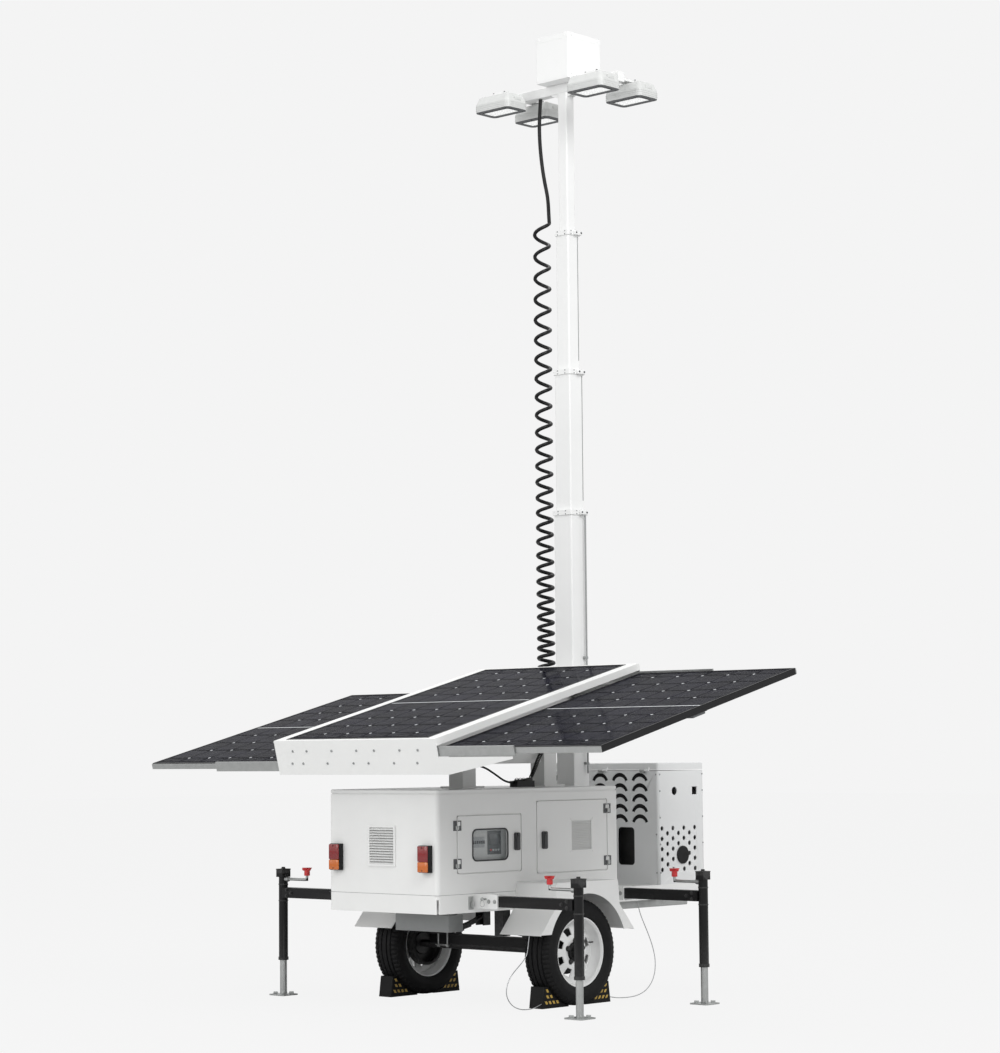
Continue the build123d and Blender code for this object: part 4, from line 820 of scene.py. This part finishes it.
BOX_X, BOX_LOW, BOX_TOP = gx(1.655), 5.555, 5.842
bm = bmesh.new()
for z in (BOX_LOW + 0.012, BOX_TOP - 0.032):
    add_ring(bm, rounded(0.307, 0.270, 0.009), rounded(0.3040, 0.2670, 0.008), (BOX_X, 0, 0), FLAT,
             z - 0.0012, z + 0.0012)
for sx, sy in CORNERS:
    add_screw(bm, (BOX_X + sx * 0.1527, sy * 0.105, BOX_TOP - 0.018), (sx, 0, 0), 0.0048)
    for z in (BOX_TOP - 0.018, BOX_LOW + 0.028):
        add_screw(bm, (BOX_X + sx * 0.120, sy * 0.1342, z), (0, sy, 0), 0.0048)
finish_mesh("top_box_trim", bm, "box_white", "mast_head")

# Mast: guide blocks with screws at each collar, and the thin rods beside the tubes
STAGES = ((0.142, 2.900, "chassis"), (0.124, 3.765, "mast_2"), (0.100, 4.630, "mast_3"))
for number, (width, top, body) in enumerate(STAGES, 1):
    edge = width / 2 + 0.007
    bm = bmesh.new()
    for z in (top - 0.006, top - 0.024):
        for side in (-1, 1):
            for k in (-0.030, 0.030):
                add_screw(bm, (MAST_X + k, side * edge, z), (0, side, 0), 0.0042)
                add_screw(bm, (MAST_X + side * edge, k, z), (side, 0, 0), 0.0042)
    finish_mesh(f"collar_screws_{number}", bm, "mid_grey", body)
    bm = bmesh.new()
    add_box(bm, (MAST_X + 0.022, -edge - 0.009, top - 0.015), (0.062, 0.020, 0.026), 0.003)
    finish_mesh(f"guide_block_{number}", bm, "white_mast", body)
    bm = bmesh.new()
    for x in (0.000, 0.044):
        add_screw(bm, (MAST_X + x, -edge - 0.0188, top - 0.014), RIGHTWARD, 0.0062)
    finish_mesh(f"guide_bolts_{number}", bm, "dark_grey", body)
    bm = bmesh.new()
    if number > 1:
        add_box(bm, (MAST_X + width / 2 - 0.013, -width / 2, top - 0.42), (0.007, 0.0006, 0.77))
    else:
        rod_x, rod_y = MAST_X + 0.030, -edge - 0.0155
        add_tube(bm, [(rod_x, rod_y, top - 0.030), (rod_x, rod_y, 1.30)], 0.0055, 10)
        for z in (1.36, 2.0):
            add_box(bm, (rod_x, -edge - 0.0075, z), (0.022, 0.024, 0.016), 0.002)
    finish_mesh(f"guide_rod_{number}", bm, "mid_grey", body)
bm = bmesh.new()
for sx, sy in CORNERS:
    add_hex(bm, (MAST_X + sx * 0.079, sy * 0.079, 0.639), UP, 0.013, 0.009)
finish_mesh("mast_foot_bolts", bm, "zinc")

# Generator housing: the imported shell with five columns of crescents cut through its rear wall
CRESCENT_EDGES, CRESCENT_ARC = ((0.070, 1), (0.045, -1)), 138
CRESCENT_MID, CRESCENT_PITCH = (0.030, 1.106), (0.158, 0.0625)
house_low, house_high = box_of("generator_housing")
bm = bmesh.new()
bm.from_mesh(frame["nodes"]["generator_housing"].data)
bm.transform(frame["nodes"]["generator_housing"].matrix_world)
bmesh.ops.remove_doubles(bm, verts=bm.verts, dist=0.00001)
shell = object_of("shell", bm)
crescent = []
for radius, way in CRESCENT_EDGES:
    for step in range(9):
        angle = math.radians(90 + way * CRESCENT_ARC * (step / 8 - 0.5))
        crescent.append((radius * math.cos(angle), radius * math.sin(angle)))
bm = bmesh.new()
for column in range(-2, 3):
    for row in range(-2, 3):
        y, z = [mid + k * pitch for mid, k, pitch in zip(CRESCENT_MID, (column, row), CRESCENT_PITCH)]
        add_prism(bm, crescent, (house_low.x, y, z), REAR, -0.02, 0.03)
bmesh.ops.recalc_face_normals(bm, faces=bm.faces)
cutter = object_of("cutter", bm)
cut = shell.modifiers.new("cut", "BOOLEAN")
cut.operation, cut.solver, cut.object = "DIFFERENCE", "EXACT", cutter
bpy.context.view_layer.update()
cut_mesh = bpy.data.meshes.new_from_object(shell.evaluated_get(bpy.context.evaluated_depsgraph_get()))
bm = bmesh.new()
bm.from_mesh(cut_mesh)
for f in bm.faces:
    f.material_index = 0
for mesh in (shell.data, cutter.data, cut_mesh):
    bpy.data.meshes.remove(mesh)
housing = finish_mesh("housing_cut", bm, slot_of("generator_housing"))
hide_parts("generator_housing")

# A dark sheet just behind the crescents, painted shade that stands for the dark inside of the housing, and screws along
# the housing's edges
bm = bmesh.new()
add_box(bm, (house_low.x + 0.011, 0.03, 1.15), (0.002, 0.80, 0.30), 0.0005)
finish_mesh("housing_painted_shade_sheet", bm, "cable_black")
bm = bmesh.new()
for z in (1.29, 1.19, 1.03, 0.87, 0.70):
    for side, y in ((-1, house_low.y), (1, house_high.y)):
        for x in (house_low.x + 0.016, house_high.x - 0.016):
            add_screw(bm, (x, y, z), (0, side, 0), 0.0052)
for z in (0.70, 0.93, 1.29):
    for y in (house_low.y + 0.016, house_high.y - 0.016):
        for side, x in ((-1, house_low.x), (1, house_high.x)):
            add_screw(bm, (x, y, z), (side, 0, 0), 0.0052)
finish_mesh("housing_screws", bm, "mid_grey", "chassis")

# Tail lamps: red above, amber below, ribbed lenses in dark cases
low, high = box_of("tail_lamps")
front, back = low.x + 0.013, high.x
split = low.z + 0.4 * (high.z - low.z)
RED, AMBER, CASE = 0, 1, 2
bm = bmesh.new()
for side in (-1, 1):
    y = side * 0.354
    add_box(bm, ((front + back) / 2, y, (low.z + high.z) / 2), (back - front, 0.080, high.z - low.z), 0.003, mat=CASE)
    for z1, z2, mat in ((low.z + 0.003, split - 0.0005, AMBER), (split + 0.0005, high.z - 0.003, RED)):
        z, h = (z1 + z2) / 2, z2 - z1
        add_box(bm, (low.x + 0.0075, y, z), (0.013, 0.074, h), 0.004, mat=mat)
        for k in range(-4, 5):
            add_box(bm, (low.x + 0.001, y + k * 0.0075, z), (0.0018, 0.0025, h - 0.012), 0.0006, mat=mat)
    for z in (low.z + 0.012, high.z - 0.012):
        add_screw(bm, (low.x + 0.001, y, z), REARWARD, 0.0035, CASE)
looks = ["lamp_red", "amber_lens", "cable_black"]
tail = finish_mesh("tail_lamp_lenses", bm, looks, "chassis")
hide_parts("tail_lamps")

# Doors: stop strips behind the gaps, hinge leaves, swing latches. Each row says the door's edges
# along the row, its low and high edge, the hinge pin with its side, and the latch.
DOORS = (
    ("door_rear", 0.1613, 0.6804, 0.765, 1.080, 0.1578, -1, 0.6424),
    ("door_front", 0.8202, 1.4300, 0.742, 1.150, 1.4335, 1, 0.8762),
)
LATCH_Z = 0.928
stops, fixed = bmesh.new(), bmesh.new()
for body, x1, x2, z1, z2, pin_x, way, latch_x in DOORS:
    w, h = x2 - x1, z2 - z1
    outer, inner = rounded(w + 0.022, h + 0.022, 0.009, 3), rounded(w + 0.0025, h + 0.0025, 0.003, 3)
    add_ring(stops, outer, inner, (gx((x1 + x2) / 2), 0, (z1 + z2) / 2), SIDE, WALL_Y + 0.0085, WALL_Y + 0.0115)
    swing = bmesh.new()
    for z in (z1 + 0.052, z2 - 0.052):
        for leaf, side in ((fixed, way), (swing, -way)):
            add_box(leaf, (gx(pin_x + side * 0.0185), WALL_Y - 0.0016, z), (0.026, 0.0032, 0.056), 0.001)
            for k in (-0.018, 0.018):
                add_screw(leaf, (gx(pin_x + side * 0.021), WALL_Y - 0.0032, z + k), RIGHTWARD, 0.0042)
    finish_mesh(f"hinge_leaf_{body}", swing, "dark_grey", body)
    x = gx(latch_x)
    bm = bmesh.new()
    add_prism(bm, rounded(0.038, 0.100, 0.010), (x, 0, LATCH_Z), SIDE, WALL_Y - 0.0148, WALL_Y - 0.0002)
    add_prism(bm, rounded(0.024, 0.070, 0.006), (x, 0, LATCH_Z - 0.006), SIDE, WALL_Y - 0.0185, WALL_Y - 0.0146,
              rounded(0.026, 0.074, 0.007))
    add_lathe(bm, [(0.0078, 0), (0.0078, 0.004), (0.0062, 0.0052), (0, 0.0052)],
              (x, WALL_Y - 0.0146, LATCH_Z + 0.040), RIGHTWARD, 18)
    finish_mesh(f"latch_{body}", bm, "panel_black", body)
finish_mesh("door_stops", stops, "white_body")
finish_mesh("hinge_leaves_fixed", fixed, "dark_grey", "chassis")

# Front door's vent: a frame with fine slats
SLATS, VENT_RIM = 17, 0.026
BLADE = [(-0.0042, -0.0036), (-0.0032, -0.0042), (0.0042, 0.0036), (0.0032, 0.0042)]
low, high = box_of("door_front_vent")
w, h = high.x - low.x, high.z - low.z
x, z = (low.x + high.x) / 2, (low.z + high.z) / 2
bm = bmesh.new()
add_ring(bm, rounded(w, h, 0.008, 3), rounded(w - VENT_RIM, h - VENT_RIM, 0.003, 3), (x, 0, z), SIDE, low.y, high.y)
for k in range(SLATS):
    slat_z = z + (k - (SLATS - 1) / 2) * (h - VENT_RIM) / SLATS
    add_prism(bm, BLADE, (x, low.y + 0.0045, slat_z), REAR, -(w - 0.024) / 2, (w - 0.024) / 2)
add_box(bm, (x, high.y - 0.0006, z), (w - 0.02, 0.001, h - 0.02))
for sx, sz in CORNERS:
    add_screw(bm, (x + sx * (w / 2 - 0.0065), low.y, z + sz * (h / 2 - 0.0065)), RIGHTWARD, 0.0034)
vent = finish_mesh("vent_slats", bm, slot_of("door_front_vent"), "door_front")
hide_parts("door_front_vent")

# Rubber seal round the window, and the panel's faces behind it
WINDOW_X, BREAKERS_X, SCREEN_X = 0.4259, 0.354, 0.4977
BACK, BREAKER, DARK, GLASS, KNOB = range(5)
bm = bmesh.new()
add_ring(bm, rounded(0.297, 0.182, 0.035, 6), rounded(0.281, 0.166, 0.028, 6), (gx(WINDOW_X), 0, 0.916), SIDE,
         WALL_Y - 0.0032, WALL_Y + 0.0002)
finish_mesh("window_seal", bm, "seal_rubber", "door_rear")
bm = bmesh.new()
panel_boxes = [
    (WINDOW_X, 0.0395, 0.925, (0.42, 0.003, 0.26), 0.001, BACK),
    (BREAKERS_X, 0.0360, 0.930, (0.132, 0.002, 0.072), 0.0008, BACK),
    (SCREEN_X, 0.0360, 0.925, (0.112, 0.002, 0.132), 0.001, DARK),
    (SCREEN_X, 0.0340, 0.945, (0.086, 0.003, 0.062), 0.001, GLASS),
]
for k in range(-3, 4):
    x = BREAKERS_X + k * 0.0172
    panel_boxes.append((x, 0.0335, 0.930, (0.0150, 0.004, 0.060), 0.001, BREAKER))
    panel_boxes.append((x, 0.0300, 0.930, (0.0095, 0.006, 0.018), 0.001, DARK))
for x, depth, z, size, bevel, mat in panel_boxes:
    add_box(bm, (gx(x), WALL_Y + depth, z), size, bevel, mat=mat)
for k in range(4):
    add_lathe(bm, [(0.0062, 0), (0.0062, 0.003), (0.0048, 0.0042), (0, 0.0042)],
              (gx(SCREEN_X + (k - 1.5) * 0.021), WALL_Y + 0.0350, 0.884), RIGHTWARD, 14, BREAKER if k else KNOB)
looks = ["lamp_body", "breaker_grey", "panel_black", "screen_black", "red_knob"]
finish_mesh("panel_face", bm, looks, "chassis")

# Hasp on the skirt, and a painted shade line along the base's fold: a thin dark strip standing for the shade in the
# crease
HASP_X, HASP_Z, FOLD_Z = gx(0.262), 0.598, 0.6485
bm = bmesh.new()
add_box(bm, (HASP_X, WALL_Y - 0.0022, HASP_Z), (0.036, 0.0045, 0.072), 0.001)
add_box(bm, (HASP_X, WALL_Y - 0.0095, HASP_Z - 0.008), (0.012, 0.013, 0.032), 0.002)
for k in (-0.026, 0.026):
    add_screw(bm, (HASP_X, WALL_Y - 0.0043, HASP_Z + k), RIGHTWARD, 0.005)
finish_mesh("skirt_hasp", bm, "zinc")
# Painted shade: thin dark strips on the walls where the base folds, standing for the shade in the crease
bm = bmesh.new()
for y in (WALL_Y - 0.0001, 0.0001 - WALL_Y):
    add_box(bm, (gx(0.768), y, FOLD_Z), (1.534, 0.0008, 0.0016))
add_box(bm, (gx(-0.0001), 0, FOLD_Z), (0.0008, 0.862, 0.0016))
finish_mesh("fold_painted_shade_line", bm, "dark_grey", "chassis")

# Underside: a case below the rear floor, U bolts and plates that hold the springs to the axle
bm = bmesh.new()
add_box(bm, (gx(0.40), 0.0275, 0.468), (0.120, 0.425, 0.096), 0.004)
for y in (-0.15, 0.205):
    add_box(bm, (gx(0.40), y, 0.531), (0.050, 0.030, 0.032), 0.002)
finish_mesh("under_case", bm, "mid_grey", "chassis")
SPRING_Y, BOLT_OFF = 0.372, 0.037
spring_top = box_of("leaf_springs")[1].z
bm = bmesh.new()
for y in (-SPRING_Y, SPRING_Y):
    for x in (gx(0.868), gx(0.932)):
        half = [(BOLT_OFF, 0.288), (BOLT_OFF, spring_top + 0.012), (0.030, spring_top + 0.017)]
        bolt = [(x, y - dy, z) for dy, z in half] + [(x, y + dy, z) for dy, z in half[::-1]]
        add_tube(bm, bolt, 0.0055)
        for k in (-1, 1):
            add_hex(bm, (x, y + k * BOLT_OFF, 0.297), DOWN, 0.017, 0.010)
    add_box(bm, (WHEEL_X, y, 0.2995), (0.096, 0.100, 0.006), 0.001)
finish_mesh("spring_bolts", bm, "zinc")

# Exhaust: a dark mesh disc, and its bars
MESH_R, BAR_PITCH = 0.049, 0.0085
low, high = box_of("generator_exhaust")
mouth = Vector(((low.x + high.x) / 2, low.y - 0.0008, (low.z + high.z) / 2))
bm = bmesh.new()
add_lathe(bm, [(0.050, 0), (0.050, 0.0012), (0, 0.0012)], mouth, RIGHTWARD, 32)
for k in range(-5, 6):
    reach = math.sqrt(MESH_R ** 2 - (k * BAR_PITCH) ** 2)
    for lean in (math.pi / 4, -math.pi / 4):
        spin = Matrix.Rotation(lean, 3, "Y")
        add_box(bm, mouth + spin @ Vector((0, -0.002, k * BAR_PITCH)), (2 * reach, 0.0016, 0.0018), 0, spin)
finish_mesh("exhaust_mesh", bm, "exhaust")


# Gold stripes on the sides and the heels of the wheel chocks
def dash(start, low, width, slant, way=1):
    """A leaning dash: its low corner, its width, and how far its top is set off."""
    corners = ((0, 0), (width, 0), (width + slant, 0.017), (slant, 0.017))
    return [(way * (start + dx), low + dz) for dx, dz in corners]


STRIPE, HEEL_LEAN = 0.0004, 0.016 / 0.120
bm = bmesh.new()
for wheel_y in (-WHEEL_Y, WHEEL_Y):
    for row, (start, count) in enumerate(((0.152, 4), (0.203, 2), (0.236, 1))):
        z = 0.024 + row * 0.033
        for end in (-1, 1):
            for k in range(count):
                for face in (-0.0502, 0.0502):
                    add_prism(bm, dash(start + k * 0.031, z, 0.017, 0.010, end), (WHEEL_X, wheel_y + face, 0), SIDE,
                              -STRIPE, STRIPE)
        heel = Matrix.Rotation(-math.atan(HEEL_LEAN), 3, "Y") @ REAR
        for k in range(3):
            add_prism(bm, dash(-0.040 + k * 0.029, 0, 0.015, 0.009), (WHEEL_X + 0.2924 - HEEL_LEAN * z, wheel_y, z),
                      heel, -STRIPE, STRIPE)
finish_mesh("chock_stripes", bm, "gold_stripe", "chassis")


# Stage: pale floor, world and lamps
def mix_of(m, factor, first, second, target):
    """Mixes two shaders by a factor into an output's surface."""
    mix = node(m, "ShaderNodeMixShader")
    link(m, factor, mix.inputs["Fac"])
    link(m, first, mix.inputs[1])
    link(m, second, mix.inputs[2])
    link(m, mix.outputs["Shader"], m.node_tree.nodes[target].inputs["Surface"])


def stage_floor():
    """A pale floor that the camera sees almost as the background."""
    mesh = bpy.data.meshes.new("floor")
    mesh.from_pydata([(x, y, 0) for x, y in oblong(120, 120)], [], [(0, 1, 2, 3)])
    floor = new_object("floor", mesh)
    m, s = material("floor", Roughness=0.9, Specular_IOR_Level=0.0, Base_Color=(0.62, 0.62, 0.62, 1))
    glow = node(m, "ShaderNodeEmission", Color=(0.924, 0.924, 0.924, 1), Strength=1.0)
    part = node(m, "ShaderNodeMath", operation="MULTIPLY")
    part.inputs[1].default_value = 0.95
    link(m, node(m, "ShaderNodeLightPath").outputs["Is Camera Ray"], part.inputs[0])
    mix_of(m, part.outputs[0], s.outputs["BSDF"], glow.outputs["Emission"], "Material Output")
    mesh.materials.append(m)


def stage_world():
    """White light all round. Camera, glossy and transmission rays see a pale grey."""
    world = bpy.data.worlds.new("world")
    bpy.context.scene.world = world
    world.use_nodes = True
    back = world.node_tree.nodes["Background"]
    back.inputs["Color"].default_value = WHITE
    back.inputs["Strength"].default_value = 0.70
    seen = node(world, "ShaderNodeBackground", Color=(0.905, 0.905, 0.905, 1))
    paths = node(world, "ShaderNodeLightPath")
    rays = paths.outputs["Is Camera Ray"]
    for kind in ("Is Glossy Ray", "Is Transmission Ray"):
        either = node(world, "ShaderNodeMath", operation="MAXIMUM")
        link(world, rays, either.inputs[0])
        link(world, paths.outputs[kind], either.inputs[1])
        rays = either.outputs[0]
    mix_of(world, rays, back.outputs["Background"], seen.outputs["Background"], "World Output")


def stage_lamp(name, place, aim, power, size):
    """A square area lamp that looks at a place."""
    data = bpy.data.lights.new(name, "AREA")
    data.energy = power
    data.size = size
    obj = new_object(name, data)
    obj.location = place
    obj.rotation_euler = (Vector(aim) - Vector(place)).to_track_quat("-Z", "Y").to_euler()


stage_floor()
stage_world()
stage_lamp("key", (-3.5, -9.0, 8.5), (0, 0, 1.5), 700, 6)
stage_lamp("fill", (-10.0, 2.0, 5.0), (0, 0, 1.5), 260, 6)
stage_lamp("top", (2.0, 3.0, 11.0), (0, 0, 2.0), 240, 7)
